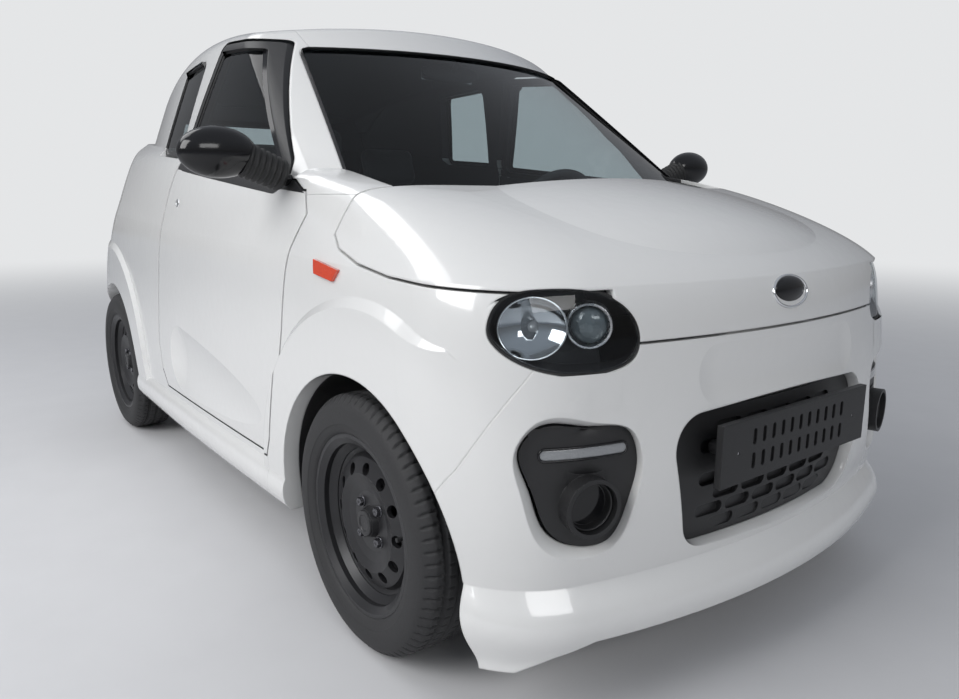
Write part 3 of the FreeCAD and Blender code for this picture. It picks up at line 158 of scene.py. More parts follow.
class Shader:
    """Node tree of one material, with short calls for its nodes."""

    def __init__(self, name: str) -> None:
        """Start a material with one principled surface.

        Args:
            name: name of the material.
        """
        self.material = bpy.data.materials.new(name)
        self.material.use_nodes = True
        self.tree = self.material.node_tree
        self.surface = self.tree.nodes["Principled BSDF"]
        self.output = self.tree.nodes["Material Output"]
        self.place = self.node("ShaderNodeTexCoord").outputs["Object"]

    def node(self, kind: str, **settings: object) -> bpy.types.Node:
        """New node with some of its settings changed.

        Args:
            kind: type of the node.
            **settings: properties and their values.

        Returns:
            The node.
        """
        made = self.tree.nodes.new(kind)
        for key, value in settings.items():
            setattr(made, key, value)
        return made

    def feed(self, socket: Socket, value: object) -> None:
        """Link a socket to an input, or set it to a constant.

        Args:
            socket: the output or constant goes to it.
            value: an output socket or a constant.
        """
        if isinstance(value, Socket):
            self.tree.links.new(value, socket)
        else:
            socket.default_value = value

    def math(self, operation: str, *values: object) -> Socket:
        """Result of a scalar operation.

        Args:
            operation: name of the operation.
            *values: sockets or constants.

        Returns:
            The result's socket.
        """
        made = self.node("ShaderNodeMath", operation=operation)
        for socket, value in zip(made.inputs, values):
            self.feed(socket, value)
        return made.outputs[0]

    def vector(self, operation: str, *values: object) -> bpy.types.Node:
        """Node of a vector operation.

        Args:
            operation: name of the operation.
            *values: sockets or constants.

        Returns:
            The node.
        """
        made = self.node("ShaderNodeVectorMath", operation=operation)
        for socket, value in zip(made.inputs, values):
            self.feed(socket, value)
        return made

    def set(self, **values: object) -> None:
        """Set inputs of the surface; an underscore stands for a space."""
        for key, value in values.items():
            self.feed(self.surface.inputs[key.replace("_", " ")], value)

    def noise(self, scale: float, detail: float = 3.0) -> Socket:
        """Noise value in the car's own space.

        Args:
            scale: steps of the noise in a metre.
            detail: octaves of the noise.

        Returns:
            The value's socket.
        """
        made = self.node("ShaderNodeTexNoise")
        self.feed(made.inputs["Vector"], self.place)
        made.inputs["Scale"].default_value = scale
        made.inputs["Detail"].default_value = detail
        return made.outputs["Fac"]

    def cells(self, scale: float) -> Socket:
        """Distance to the nearest point of a cell pattern.

        Args:
            scale: cells in a metre.

        Returns:
            The distance's socket.
        """
        made = self.node("ShaderNodeTexVoronoi")
        self.feed(made.inputs["Vector"], self.place)
        made.inputs["Scale"].default_value = scale
        return made.outputs["Distance"]

    def ramp(self, value: Socket, low: float, high: float) -> Socket:
        """Value scaled from its unit range to another range.

        Args:
            value: socket of the value.
            low: start of the new range.
            high: end of the new range.

        Returns:
            The scaled value's socket.
        """
        made = self.node("ShaderNodeMapRange")
        self.feed(made.inputs["Value"], value)
        made.inputs["To Min"].default_value = low
        made.inputs["To Max"].default_value = high
        return made.outputs["Result"]

    def mix(self, share: object, first: object, second: object) -> Socket:
        """Blend of two colours.

        Args:
            share: part of the second colour.
            first: socket or colour.
            second: socket or colour.

        Returns:
            The blend's socket.
        """
        made = self.node("ShaderNodeMix", data_type="RGBA")
        self.feed(made.inputs["Factor"], share)
        for socket, value in zip((made.inputs[6], made.inputs[7]), (first, second)):
            self.feed(socket, value)
        return made.outputs[2]

    def blend(self, share: object, first: bpy.types.Node, second: bpy.types.Node) -> None:
        """Show a blend of two shaders.

        Args:
            share: part of the second shader.
            first: a shader's node.
            second: a shader's node.
        """
        both = self.node("ShaderNodeMixShader")
        for socket, value in zip(both.inputs, (share, first.outputs[0], second.outputs[0])):
            self.feed(socket, value)
        self.feed(self.output.inputs["Surface"], both.outputs[0])

    def bump(self, height: Socket, depth: float, normal: object = None) -> Socket:
        """Normal bent by a height field.

        Args:
            height: socket of the height.
            depth: height in metres that one unit stands for.
            normal: normal to start from.

        Returns:
            The normal's socket.
        """
        made = self.node("ShaderNodeBump")
        made.inputs["Distance"].default_value = depth
        made.inputs["Strength"].default_value = 1.0
        self.feed(made.inputs["Height"], height)
        if normal is not None:
            self.feed(made.inputs["Normal"], normal)
        return made.outputs["Normal"]

    def soft_edges(self, radius: float) -> Socket:
        """Normal rounded at the edges of the mesh.

        Args:
            radius: radius of the rounding.

        Returns:
            The normal's socket.
        """
        made = self.node("ShaderNodeBevel", samples=6)
        made.inputs["Radius"].default_value = radius
        return made.outputs["Normal"]


@dataclass(frozen=True)
class Plastic:
    """Moulded plastic with a fine grain."""

    colour: Colour = (0.016, 0.016, 0.017)
    roughness: float = 0.5
    spread: float = 0.06
    grain: float = 900.0
    depth: float = 0.00025
    edge: float = 0.002

    def build(self, name: str) -> bpy.types.Material:
        """Material of this finish.

        Args:
            name: name of the material.

        Returns:
            The material.
        """
        shader = Shader(name)
        grain = shader.noise(self.grain)
        rough = shader.ramp(grain, self.roughness - self.spread, self.roughness + self.spread)
        shader.set(Base_Color=opaque(self.colour), Roughness=rough)
        shader.set(Normal=shader.bump(grain, self.depth, shader.soft_edges(self.edge)))
        return shader.material


@dataclass(frozen=True)
class Paint:
    """Glossy lacquered paint with a lining on the faces that look into the cabin."""

    colour: Colour = (0.72, 0.72, 0.71)
    lining: Colour = (0.045, 0.045, 0.047)
    roughness: float = 0.22
    lining_extra: float = 0.4
    coat_roughness: float = 0.03
    ripple: float = 40.0
    ripple_depth: float = 0.0004
    edge: float = 0.005
    cabin_height: float = 0.75
    cabin_front: float = 0.70
    cabin_squeeze: Point = (0.25, 1.0, 1.0)
    facing_limit: float = -0.2

    def build(self, name: str) -> bpy.types.Material:
        """Material of this finish.

        Args:
            name: name of the material.

        Returns:
            The material.
        """
        shader = Shader(name)
        ripple = shader.noise(self.ripple, 1.0)
        inside = self.inward(shader)
        shader.set(Base_Color=shader.mix(inside, opaque(self.colour), opaque(self.lining)))
        shader.set(Roughness=shader.math("MULTIPLY_ADD", inside, self.lining_extra, self.roughness))
        shader.set(Coat_Weight=shader.math("SUBTRACT", 1.0, inside), Coat_Roughness=self.coat_roughness)
        shader.set(Normal=shader.bump(ripple, self.ripple_depth, shader.soft_edges(self.edge)))
        return shader.material

    def inward(self, shader: Shader) -> Socket:
        """One where a face looks at the middle line of the cabin, otherwise zero.

        Args:
            shader: the material's node tree.

        Returns:
            A mask socket.
        """
        centre = shader.vector("SUBTRACT", shader.place, (0.0, 0.0, self.cabin_height))
        flat = shader.vector("MULTIPLY", centre.outputs[0], self.cabin_squeeze)
        geometry = shader.node("ShaderNodeNewGeometry")
        facing = shader.vector("DOT_PRODUCT", flat.outputs[0], geometry.outputs["True Normal"])
        ahead = shader.node("ShaderNodeSeparateXYZ")
        shader.feed(ahead.inputs[0], shader.place)
        in_cabin = shader.math("LESS_THAN", ahead.outputs["X"], self.cabin_front)
        looks_in = shader.math("LESS_THAN", facing.outputs["Value"], self.facing_limit)
        return shader.math("MULTIPLY", looks_in, in_cabin)


@dataclass(frozen=True)
class Metal:
    """Bare or painted metal with faint wear."""

    colour: Colour = (0.6, 0.6, 0.61)
    roughness: float = 0.35
    spread: float = 0.08
    wear: float = 60.0
    metallic: float = 1.0
    edge: float = 0.0015

    def build(self, name: str) -> bpy.types.Material:
        """Material of this finish.

        Args:
            name: name of the material.

        Returns:
            The material.
        """
        shader = Shader(name)
        wear = shader.noise(self.wear)
        shader.set(Base_Color=opaque(self.colour), Metallic=self.metallic)
        shader.set(Roughness=shader.ramp(wear, self.roughness - self.spread, self.roughness + self.spread))
        shader.set(Normal=shader.soft_edges(self.edge))
        return shader.material


@dataclass(frozen=True)
class Rubber:
    """Dull rubber with a faint mottle."""

    colour: Colour = (0.018, 0.018, 0.019)
    roughness: float = 0.68
    mottle: float = 220.0
    mottle_detail: float = 5.0
    mottle_depth: float = 0.0003
    lightening: float = 1.7

    def build(self, name: str) -> bpy.types.Material:
        """Material of this finish.

        Args:
            name: name of the material.

        Returns:
            The material.
        """
        shader = Shader(name)
        mottle = shader.noise(self.mottle, self.mottle_detail)
        light = tuple(channel * self.lightening for channel in self.colour)
        shader.set(Base_Color=shader.mix(mottle, opaque(self.colour), opaque(light)))
        shader.set(Roughness=self.roughness, Normal=shader.bump(mottle, self.mottle_depth))
        return shader.material


@dataclass(frozen=True)
class Glass:
    """Clear or tinted pane: what lies behind shows through, and it mirrors at flat angles."""

    tint: Colour = (0.32, 0.36, 0.36)
    roughness: float = 0.0
    head_on: float = 0.04
    steepness: float = 5.0
    waviness: float = 0.03

    def build(self, name: str) -> bpy.types.Material:
        """Material of this finish.

        Args:
            name: name of the material.

        Returns:
            The material.
        """
        shader = Shader(name)
        shader.tree.nodes.remove(shader.surface)
        clear = shader.node("ShaderNodeBsdfTransparent")
        clear.inputs["Color"].default_value = opaque(self.tint)
        gloss = shader.node("ShaderNodeBsdfGlossy")
        gloss.inputs["Roughness"].default_value = self.roughness
        edge_on = shader.node("ShaderNodeLayerWeight").outputs["Facing"]
        rising = shader.math("POWER", edge_on, self.steepness)
        mirroring = shader.math("MULTIPLY_ADD", rising, 1.0 - self.head_on, self.head_on)
        front = shader.math("SUBTRACT", 1.0, shader.node("ShaderNodeNewGeometry").outputs["Backfacing"])
        faint = shader.ramp(shader.noise(3.0, 1.0), 1.0 - self.waviness, 1.0 + self.waviness)
        share = shader.math("MULTIPLY", shader.math("MULTIPLY", mirroring, front), faint)
        shader.blend(share, clear, gloss)
        return shader.material


@dataclass(frozen=True)
class Cloth:
    """Woven seat cloth."""

    colour: Colour = (0.040, 0.040, 0.044)
    threads: float = 1400.0
    thread_depth: float = 0.0006
    lightening: float = 2.2
    roughness: float = 0.9
    sheen: float = 0.35

    def build(self, name: str) -> bpy.types.Material:
        """Material of this finish.

        Args:
            name: name of the material.

        Returns:
            The material.
        """
        shader = Shader(name)
        weave = shader.cells(self.threads)
        light = tuple(channel * self.lightening for channel in self.colour)
        shader.set(Base_Color=shader.mix(weave, opaque(self.colour), opaque(light)))
        shader.set(Roughness=self.roughness, Sheen_Weight=self.sheen)
        shader.set(Normal=shader.bump(weave, self.thread_depth))
        return shader.material


@dataclass(frozen=True)
class Lens:
    """Coloured moulded lens with fine flutes."""

    colour: Colour = (0.6, 0.03, 0.01)
    glow: float = 0.15
    roughness: float = 0.12
    coat_roughness: float = 0.02
    flutes: float = 160.0
    flute_depth: float = 0.001
    edge: float = 0.002

    def build(self, name: str) -> bpy.types.Material:
        """Material of this finish.

        Args:
            name: name of the material.

        Returns:
            The material.
        """
        shader = Shader(name)
        flutes = shader.cells(self.flutes)
        shader.set(Base_Color=opaque(self.colour), Roughness=self.roughness)
        shader.set(Coat_Weight=1.0, Coat_Roughness=self.coat_roughness)
        shader.set(Emission_Color=opaque(self.colour), Emission_Strength=self.glow)
        shader.set(Normal=shader.bump(flutes, self.flute_depth, shader.soft_edges(self.edge)))
        return shader.material


FINISHES = {
    Finish.BODY_PAINT: Paint(),
    Finish.BLACK_TRIM: Plastic(roughness=0.45),
    Finish.GLOSS_BLACK: Plastic(colour=(0.006, 0.006, 0.007), roughness=0.12, grain=8.0, depth=0.00005),
    Finish.SIDE_GLASS: Glass(tint=(0.74, 0.78, 0.79)),
    Finish.LAMP_GLASS: Glass(tint=(0.93, 0.95, 0.96)),
    Finish.LAMP_BODY: Plastic(colour=(0.02, 0.02, 0.022), roughness=0.25),
    Finish.BADGE_BLACK: Plastic(colour=(0.008, 0.008, 0.009), roughness=0.15, depth=0.00005),
    Finish.AMBER_LENS: Lens(colour=(0.55, 0.045, 0.01)),
    Finish.RED_LENS: Lens(colour=(0.45, 0.008, 0.006)),
    Finish.CABIN_PLASTIC: Plastic(colour=(0.03, 0.03, 0.032), roughness=0.6, grain=600.0, depth=0.0004),
    Finish.SEAT_FABRIC: Cloth(),
    Finish.FRAME_METAL: Metal(colour=(0.5, 0.5, 0.52), roughness=0.45),
    Finish.DARK_METAL: Metal(colour=(0.09, 0.09, 0.095), roughness=0.55, metallic=0.6),
    Finish.RIM_BLACK: Metal(colour=(0.022, 0.022, 0.024), roughness=0.38, metallic=0.2),
    Finish.TYRE: Rubber(),
    Finish.SEAL_RUBBER: Rubber(colour=(0.012, 0.012, 0.012), roughness=0.55),
    Finish.BRIGHT_STEEL: Metal(colour=(0.75, 0.75, 0.77), roughness=0.22),
    Finish.MIRROR_SILVER: Metal(colour=(0.9, 0.92, 0.93), roughness=0.02, edge=0.0005),
    Finish.CHROME: Metal(colour=(0.86, 0.87, 0.88), roughness=0.06),
    Finish.SATIN_SILVER: Metal(colour=(0.55, 0.56, 0.57), roughness=0.28),
    Finish.BOLT_BLACK: Metal(colour=(0.10, 0.10, 0.11), roughness=0.25, metallic=0.8),
    Finish.BOWL_CHROME: Metal(colour=(0.58, 0.60, 0.62), roughness=0.07),
    Finish.PROJECTOR_GLASS: Lens(colour=(0.10, 0.12, 0.13), glow=0.0),
    Finish.LAMP_FROST: Lens(colour=(0.24, 0.25, 0.26), glow=0.02),
    Finish.SMOKED_GLASS: Lens(colour=(0.02, 0.021, 0.023), glow=0.0),
}
MATERIALS: dict[Finish, bpy.types.Material] = {}


def material(finish: Finish) -> bpy.types.Material:
    """Material of a finish, made once.

    Args:
        finish: the finish wanted.

    Returns:
        Its material.
    """
    if finish not in MATERIALS:
        MATERIALS[finish] = FINISHES[finish].build(finish.value)
    return MATERIALS[finish]


def finish_frame() -> int:
    """Give every CAD node the finish of its slot.

    Returns:
        How many nodes were given a finish.
    """
    slots = {row["node"]: row["material_slot"] for row in frame["record"]["subparts"]}
    for name, node in frame["nodes"].items():
        node.data.materials.clear()
        node.data.materials.append(material(Finish(slots[name])))
    return len(slots)


def make_mesh(name: str, points: list, faces: list[Face], finish: Finish,
              smooth: bool = True) -> bpy.types.Object:
    """Mesh object in the scene with one finish.

    Args:
        name: object name.
        points: vertex places in metres.
        faces: vertex numbers of each face.
        finish: finish of the object.
        smooth: whether faces are shaded smooth.

    Returns:
        The object.
    """
    mesh = bpy.data.meshes.new(name)
    mesh.from_pydata([tuple(point) for point in points], [], faces)
    mesh.update()
    mesh.polygons.foreach_set("use_smooth", [smooth] * len(mesh.polygons))
    made = bpy.data.objects.new(name, mesh)
    bpy.context.scene.collection.objects.link(made)
    made.data.materials.append(material(finish))
    return made


def grid_faces(rows: int, columns: int, closed_rows: bool, closed_columns: bool) -> list[Face]:
    """Quads over a grid of points stored row by row.

    Args:
        rows: how many rows of points there are.
        columns: how many points a row has.
        closed_rows: whether the last row joins the first.
        closed_columns: whether each row closes on itself.

    Returns:
        Four point numbers for each quad.
    """
    faces = []
    for row in range(rows if closed_rows else rows - 1):
        below = (row + 1) % rows
        for column in range(columns if closed_columns else columns - 1):
            after = (column + 1) % columns
            faces.append((row * columns + column, below * columns + column,
                          below * columns + after, row * columns + after))
    return faces


def end_caps(rows: int, columns: int) -> tuple[Face, Face]:
    """Point numbers of the first and the last row of a grid, as a face each."""
    last = (rows - 1) * columns
    return tuple(range(columns)), tuple(range(last, last + columns))


def disc(rings: int, sides: int, hole: float) -> tuple[list[Pair], list[Face]]:
    """Rings of points over a disc, and the faces between and inside them.

    Args:
        rings: how many rings there are.
        sides: points in each ring.
        hole: radius of the innermost ring, in steps from ring to ring.

    Returns:
        (share of the radius, angle) of each point, and the faces.
    """
    spots = [((ring + hole) / (rings - 1 + hole), turn) for ring in range(rings) for turn in turns(sides)]
    return spots, grid_faces(rings, sides, False, True) + [tuple(range(sides))]


@dataclass(frozen=True)
class Tyre:
    """Radial tyre with three grooves, block shoulders and a ribbed sidewall.

    The sidewall is (outward, radius) from the inner bead to the tread.
    """

    centre: Point
    outward: int
    segments: int = 648
    blocks: int = 72
    sidewall: Profile = ((-0.0574, 0.1803), (-0.0596, 0.1943), (-0.0664, 0.1945), (-0.0715, 0.203),
                         (-0.0750, 0.2140), (-0.0752, 0.2150), (-0.0768, 0.2160), (-0.0772, 0.2360),
                         (-0.0752, 0.2480), (-0.0722, 0.2560), (-0.0690, 0.2600))
    tread_half: float = 0.0655
    tread_steps: int = 44
    crown_radius: float = 0.2778
    crown_drop: float = 0.0022
    shoulder_from: float = 0.72
    shoulder_drop: float = 0.011
    groove_depth: float = 0.0065
    groove_places: tuple[float, ...] = (-0.030, 0.0, 0.030)
    groove_half: float = 0.0045
    rib_half: float = 0.036
    block_slant: float = 6.0
    shoulder_slot: float = 0.17
    shoulder_share: float = 0.8
    rib_slot: float = 0.09
    rib_share: float = 0.5

    def profile(self) -> list[tuple[float, float, float]]:
        """Section as (outward, radius, tread share), from inner to outer bead."""
        places = [(y, r, 0.0) for y, r in self.sidewall]
        tread = []
        for index in range(self.tread_steps + 1):
            y = -self.tread_half + 2 * self.tread_half * index / self.tread_steps
            share = abs(y) / self.tread_half
            over = max(0.0, share - self.shoulder_from) ** 2 / (1 - self.shoulder_from) ** 2
            radius = self.crown_radius - self.crown_drop * share ** 2 - self.shoulder_drop * over
            tread.append((y, radius, 1.0))
        return places + tread + [(-y, r, s) for y, r, s in reversed(places)]

    def cut(self, y: float, angle: float) -> float:
        """Depth of the tread pattern at a place.

        Args:
            y: place across the tyre, from its middle.
            angle: place round the tyre.

        Returns:
            The depth in metres.
        """
        for place in self.groove_places:
            if abs(y - place) < self.groove_half:
                return self.groove_depth
        turn = (angle / (2 * math.pi) * self.blocks + self.block_slant * abs(y)) % 1.0
        if abs(y) > self.rib_half and turn < self.shoulder_slot:
            return self.groove_depth * self.shoulder_share
        if abs(y) <= self.rib_half and (turn + 0.5) % 1.0 < self.rib_slot:
            return self.groove_depth * self.rib_share
        return 0.0

    def build(self, name: str) -> bpy.types.Object:
        """Tyre in its place.

        Args:
            name: object name.

        Returns:
            The object.
        """
        profile = self.profile()
        x0, y0, z0 = self.centre
        points = []
        for angle in turns(self.segments):
            cosine, sine = math.cos(angle), math.sin(angle)
            for y, radius, share in profile:
                reach = radius - (self.cut(y, angle) if share else 0.0)
                points.append((x0 + reach * cosine, y0 + self.outward * y, z0 + reach * sine))
        faces = grid_faces(self.segments, len(profile), True, True)
        if self.outward > 0:
            faces = [tuple(reversed(face)) for face in faces]
        made = make_mesh(name, points, faces, Finish.TYRE)
        made.modifiers.new("sharp", "WEIGHTED_NORMAL")
        return made


def wheel_centre(axle: Axle, side: Side) -> Vector:
    """Middle of a wheel, from the box of its CAD tyre."""
    low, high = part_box(f"tyre_{axle.value}_{side.word}")
    return (low + high) / 2


class Probe:
    """Finds places on the surfaces of CAD nodes by sending rays at them."""

    def __init__(self, *nodes: str) -> None:
        """Join the nodes' faces in one search tree.

        Args:
            *nodes: names of CAD nodes.
        """
        points, faces = [], []
        for name in nodes:
            mesh = frame["nodes"][name].data
            first = len(points)
            points += [vertex.co.copy() for vertex in mesh.vertices]
            faces += [tuple(first + index for index in polygon.vertices) for polygon in mesh.polygons]
        self.tree = BVHTree.FromPolygons(points, faces) if nodes else None

    @classmethod
    def of(cls, made: bpy.types.Object) -> "Probe":
        """Probe for a piece that was made here.

        Args:
            made: the piece.

        Returns:
            The probe.
        """
        probe = cls()
        faces = [tuple(polygon.vertices) for polygon in made.data.polygons]
        probe.tree = BVHTree.FromPolygons([vertex.co.copy() for vertex in made.data.vertices], faces)
        return probe

    def hit(self, start: Vector, aim: Vector) -> tuple[Vector, Vector] | None:
        """First surface met from a start along an aim.

        Args:
            start: where the ray begins.
            aim: its direction.

        Returns:
            The place and the normal that faces the ray, or None if nothing is met.
        """
        place, normal, _, _ = self.tree.ray_cast(start, aim.normalized())
        if place is None:
            return None
        return place, normal if normal.dot(aim) < 0 else -normal

    def find(self, start: Vector, aim: Vector) -> tuple[Vector, Vector]:
        """First surface met, where one has to be.

        Args:
            start: where the ray begins.
            aim: its direction.

        Returns:
            The place and the normal that faces the ray.

        Raises:
            LookupError: if nothing is met.
        """
        spot = self.hit(start, aim)
        if spot is None:
            raise LookupError(f"no surface from {tuple(start)} along {tuple(aim)}")
        return spot

    def track(self, starts: list[Vector], aim: Vector, lift: float) -> list[Vector]:
        """Places met from many starts, lifted off the surface.

        Args:
            starts: where the rays begin.
            aim: their direction.
            lift: height over the surface.

        Returns:
            The places. Rays that meet nothing are left out.
        """
        found = [self.hit(start, aim) for start in starts]
        return [place + normal * lift for place, normal in (spot for spot in found if spot)]


def side_axes(axis: Vector) -> tuple[Vector, Vector]:
    """Two unit vectors square to an axis and to each other.

    Args:
        axis: a unit vector.

    Returns:
        The two vectors.
    """
    helper = UP if abs(axis.z) < 0.9 else AHEAD
    first = axis.cross(helper).normalized()
    return first, axis.cross(first).normalized()


def ring_shape(sides: int, width: float, height: float) -> Profile:
    """Points of an ellipse with these half axes."""
    return tuple((width * math.cos(turn), height * math.sin(turn)) for turn in turns(sides))


def swept(name: str, path: list[Vector], shape: Profile, finish: Finish, closed: bool = False,
          ups: list[Vector] | None = None) -> bpy.types.Object:
    """Section swept along a path.

    Args:
        name: object name.
        path: places along the middle of the sweep.
        shape: section points as (across, up).
        finish: finish of the object.
        closed: whether the path ends where it starts.
        ups: direction of the section's height at each place.

    Returns:
        The object.
    """
    count = len(path)
    points = []
    up = None
    for index, place in enumerate(path):
        ahead = path[(index + 1) % count] if closed or index + 1 < count else place
        behind = path[index - 1] if closed or index else place
        along = (ahead - behind).normalized()
        wanted = ups[index] if ups else (up or side_axes(along)[0])
        across = along.cross(wanted).normalized()
        up = across.cross(along).normalized()
        points += [place + across * u + up * w for u, w in shape]
    faces = grid_faces(count, len(shape), closed, True)
    if not closed:
        first, last = end_caps(count, len(shape))
        faces += [first, tuple(reversed(last))]
    return make_mesh(name, points, faces, finish)


def tube(name: str, path: list[Vector], radius: float, finish: Finish,
         closed: bool = False) -> bpy.types.Object:
    """Round bar along a path, closed to a ring if asked for."""
    return swept(name, path, ring_shape(10, radius, radius), finish, closed)


def split_edges(made: bpy.types.Object, degrees: float = 35.0) -> None:
    """Shade the edges that are sharper than an angle as sharp."""
    made.modifiers.new("edges", "EDGE_SPLIT").split_angle = math.radians(degrees)


def lathe(name: str, profile: Profile, centre: Vector, axis: Vector, finish: Finish,
          sides: int = 48) -> bpy.types.Object:
    """Section turned about an axis.

    Args:
        name: object name.
        profile: (radius, distance along the axis) from one end to the other.
        centre: where the axis starts.
        axis: direction of the axis.
        finish: finish of the object.
        sides: steps round the axis.

    Returns:
        The object.
    """
    axis = axis.normalized()
    first, second = side_axes(axis)
    points = []
    for radius, along in profile:
        for turn in turns(sides):
            out = first * math.cos(turn) + second * math.sin(turn)
            points.append(centre + axis * along + out * radius)
    start, end = end_caps(len(profile), sides)
    faces = grid_faces(len(profile), sides, False, True) + [tuple(reversed(start)), end]
    made = make_mesh(name, points, faces, finish)
    split_edges(made)
    return made


def corner_steps(half: float, rounding: float, core: int, corner: int = 3) -> list[float]:
    """Places from one side of a box to the other, close together in the round edges.

    Args:
        half: half of the box along this axis.
        rounding: radius of its edges.
        core: steps in the flat middle.
        corner: steps in each round edge.

    Returns:
        Places from -half to half.
    """
    flat = half - rounding
    edge = [rounding * math.tan(math.pi / 4 * index / corner) for index in range(1, corner + 1)]
    middle = [flat * (2 * index / core - 1) for index in range(core + 1)]
    return [-flat - reach for reach in reversed(edge)] + middle + [flat + reach for reach in edge]


def rounded_box(size: Point, rounding: float, core: tuple[int, int, int]) -> tuple[list[Vector], list[Face]]:
    """Points and faces of a box with round edges about the origin.

    Args:
        size: whole length along each axis.
        rounding: radius of the edges.
        core: steps in the flat middle along each axis.

    Returns:
        Points and faces.
    """
    half = [value / 2 for value in size]
    rounding = min(rounding, *half) * 0.999
    steps = [corner_steps(reach, rounding, count) for reach, count in zip(half, core)]
    numbers: dict[tuple, int] = {}
    points: list[Vector] = []
    faces = []
    for axis in range(3):
        first, second = (axis + 1) % 3, (axis + 2) % 3
        for sign in (-1, 1):
            grid = []
            for row in steps[first]:
                for column in steps[second]:
                    place = Vector((0, 0, 0))
                    place[axis], place[first], place[second] = sign * half[axis], row, column
                    key = tuple(round(value, 7) for value in place)
                    if key not in numbers:
                        numbers[key] = len(points)
                        inner = Vector(max(-reach + rounding, min(reach - rounding, value))
                                       for value, reach in zip(place, half))
                        points.append(inner + (place - inner).normalized() * rounding)
                    grid.append(numbers[key])
            for face in grid_faces(len(steps[first]), len(steps[second]), False, False):
                order = reversed(face) if sign < 0 else face
                faces.append(tuple(grid[index] for index in order))
    return points, [tuple(reversed(face)) for face in faces]


def block(name: str, centre: Vector, size: Point, finish: Finish, rounding: float = 0.003,
          turn: Matrix | None = None) -> bpy.types.Object:
    """Box with round edges in its place.

    Args:
        name: object name.
        centre: middle of the box.
        size: whole length along each of its axes.
        finish: finish of the object.
        rounding: radius of the edges.
        turn: from the box's own axes to the car's.

    Returns:
        The object.
    """
    points, faces = rounded_box(size, rounding, (4, 4, 4))
    turn = turn or Matrix.Identity(3)
    return make_mesh(name, [turn @ point + centre for point in points], faces, finish)


@dataclass
class Assembly:
    """Pieces of one sub-assembly."""

    pieces: list[bpy.types.Object] = field(default_factory=list, init=False)

    def keep(self, made: bpy.types.Object, body: str = CAR, *stands_for: str) -> None:
        """Let a piece ride on a body.

        Args:
            made: the piece, in place.
            body: name of a CAD body.
            *stands_for: CAD nodes that it replaces.
        """
        if stands_for:
            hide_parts(*stands_for)
        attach(made, body)
        self.pieces.append(made)

    def build(self) -> list[bpy.types.Object]:
        """Make the pieces and return them."""
        self.make()
        return self.pieces

    def make(self) -> None:
        """Make the pieces of this sub-assembly."""
        raise NotImplementedError


@dataclass
class Wheels(Assembly):
    """Treaded tyres, bolts, hub caps, valves and brakes.

    Sections are (radius, distance along the axle).
    """

    bolts: int = 4
    bolt_circle: float = 0.049
    bolt_seat: float = 0.0315
    washer: Profile = ((0.0125, 0), (0.0125, 0.002), (0.0115, 0.0032), (0.004, 0.0034))
    bolt: Profile = ((0.0098, 0.002), (0.0098, 0.0105), (0.0088, 0.0118), (0.003, 0.0118), (0.002, 0.0100))
    cap: Profile = ((0.0285, 0.034), (0.0285, 0.0475), (0.0265, 0.0505), (0.018, 0.0515), (0.016, 0.0495),
                    (0.001, 0.0492))
    valve: Profile = ((0.0042, 0), (0.0042, 0.014), (0.005, 0.015), (0.005, 0.024), (0.003, 0.025))
    valve_place: Pair = (0.147, 0.02)
    valve_seat: float = 0.035
    disc: Profile = ((0.030, -0.016), (0.118, -0.016), (0.118, -0.006), (0.070, -0.006), (0.066, 0.004),
                     (0.030, 0.004))

    def make(self) -> None:
        """Make four dressed wheels."""
        for axle in Axle:
            for side in Side:
                self.wheel(axle, side)

    def wheel(self, axle: Axle, side: Side) -> None:
        """Make one dressed wheel.

        Args:
            axle: axle of the wheel.
            side: side of the car.
        """
        body = f"wheel_{axle.value}_{side.word}"
        centre = wheel_centre(axle, side)
        axis = Vector((0, side.value, 0))
        tyre = Tyre(tuple(centre), side.value).build(f"treaded_{body}")
        self.keep(tyre, body, f"tyre_{axle.value}_{side.word}")
        for index in range(self.bolts):
            turn = 2 * math.pi * (index + 0.5) / self.bolts
            out = Vector((math.cos(turn), 0, math.sin(turn)))
            seat = centre + out * self.bolt_circle + axis * self.bolt_seat
            for part, section, sides in (("washer", self.washer, 24), ("bolt", self.bolt, 6)):
                name = f"{body}_{part}_{index}"
                self.keep(lathe(name, section, seat, axis, Finish.BOLT_BLACK, sides), body)
        self.keep(lathe(f"{body}_cap", self.cap, centre, axis, Finish.RIM_BLACK), body)
        along, up = self.valve_place
        valve = centre + Vector((along, 0, up)) + axis * self.valve_seat
        self.keep(lathe(f"{body}_valve", self.valve, valve, axis, Finish.TYRE, sides=16), body)
        self.keep(lathe(f"{body}_brake", self.disc, centre, axis, Finish.DARK_METAL, sides=64), body)


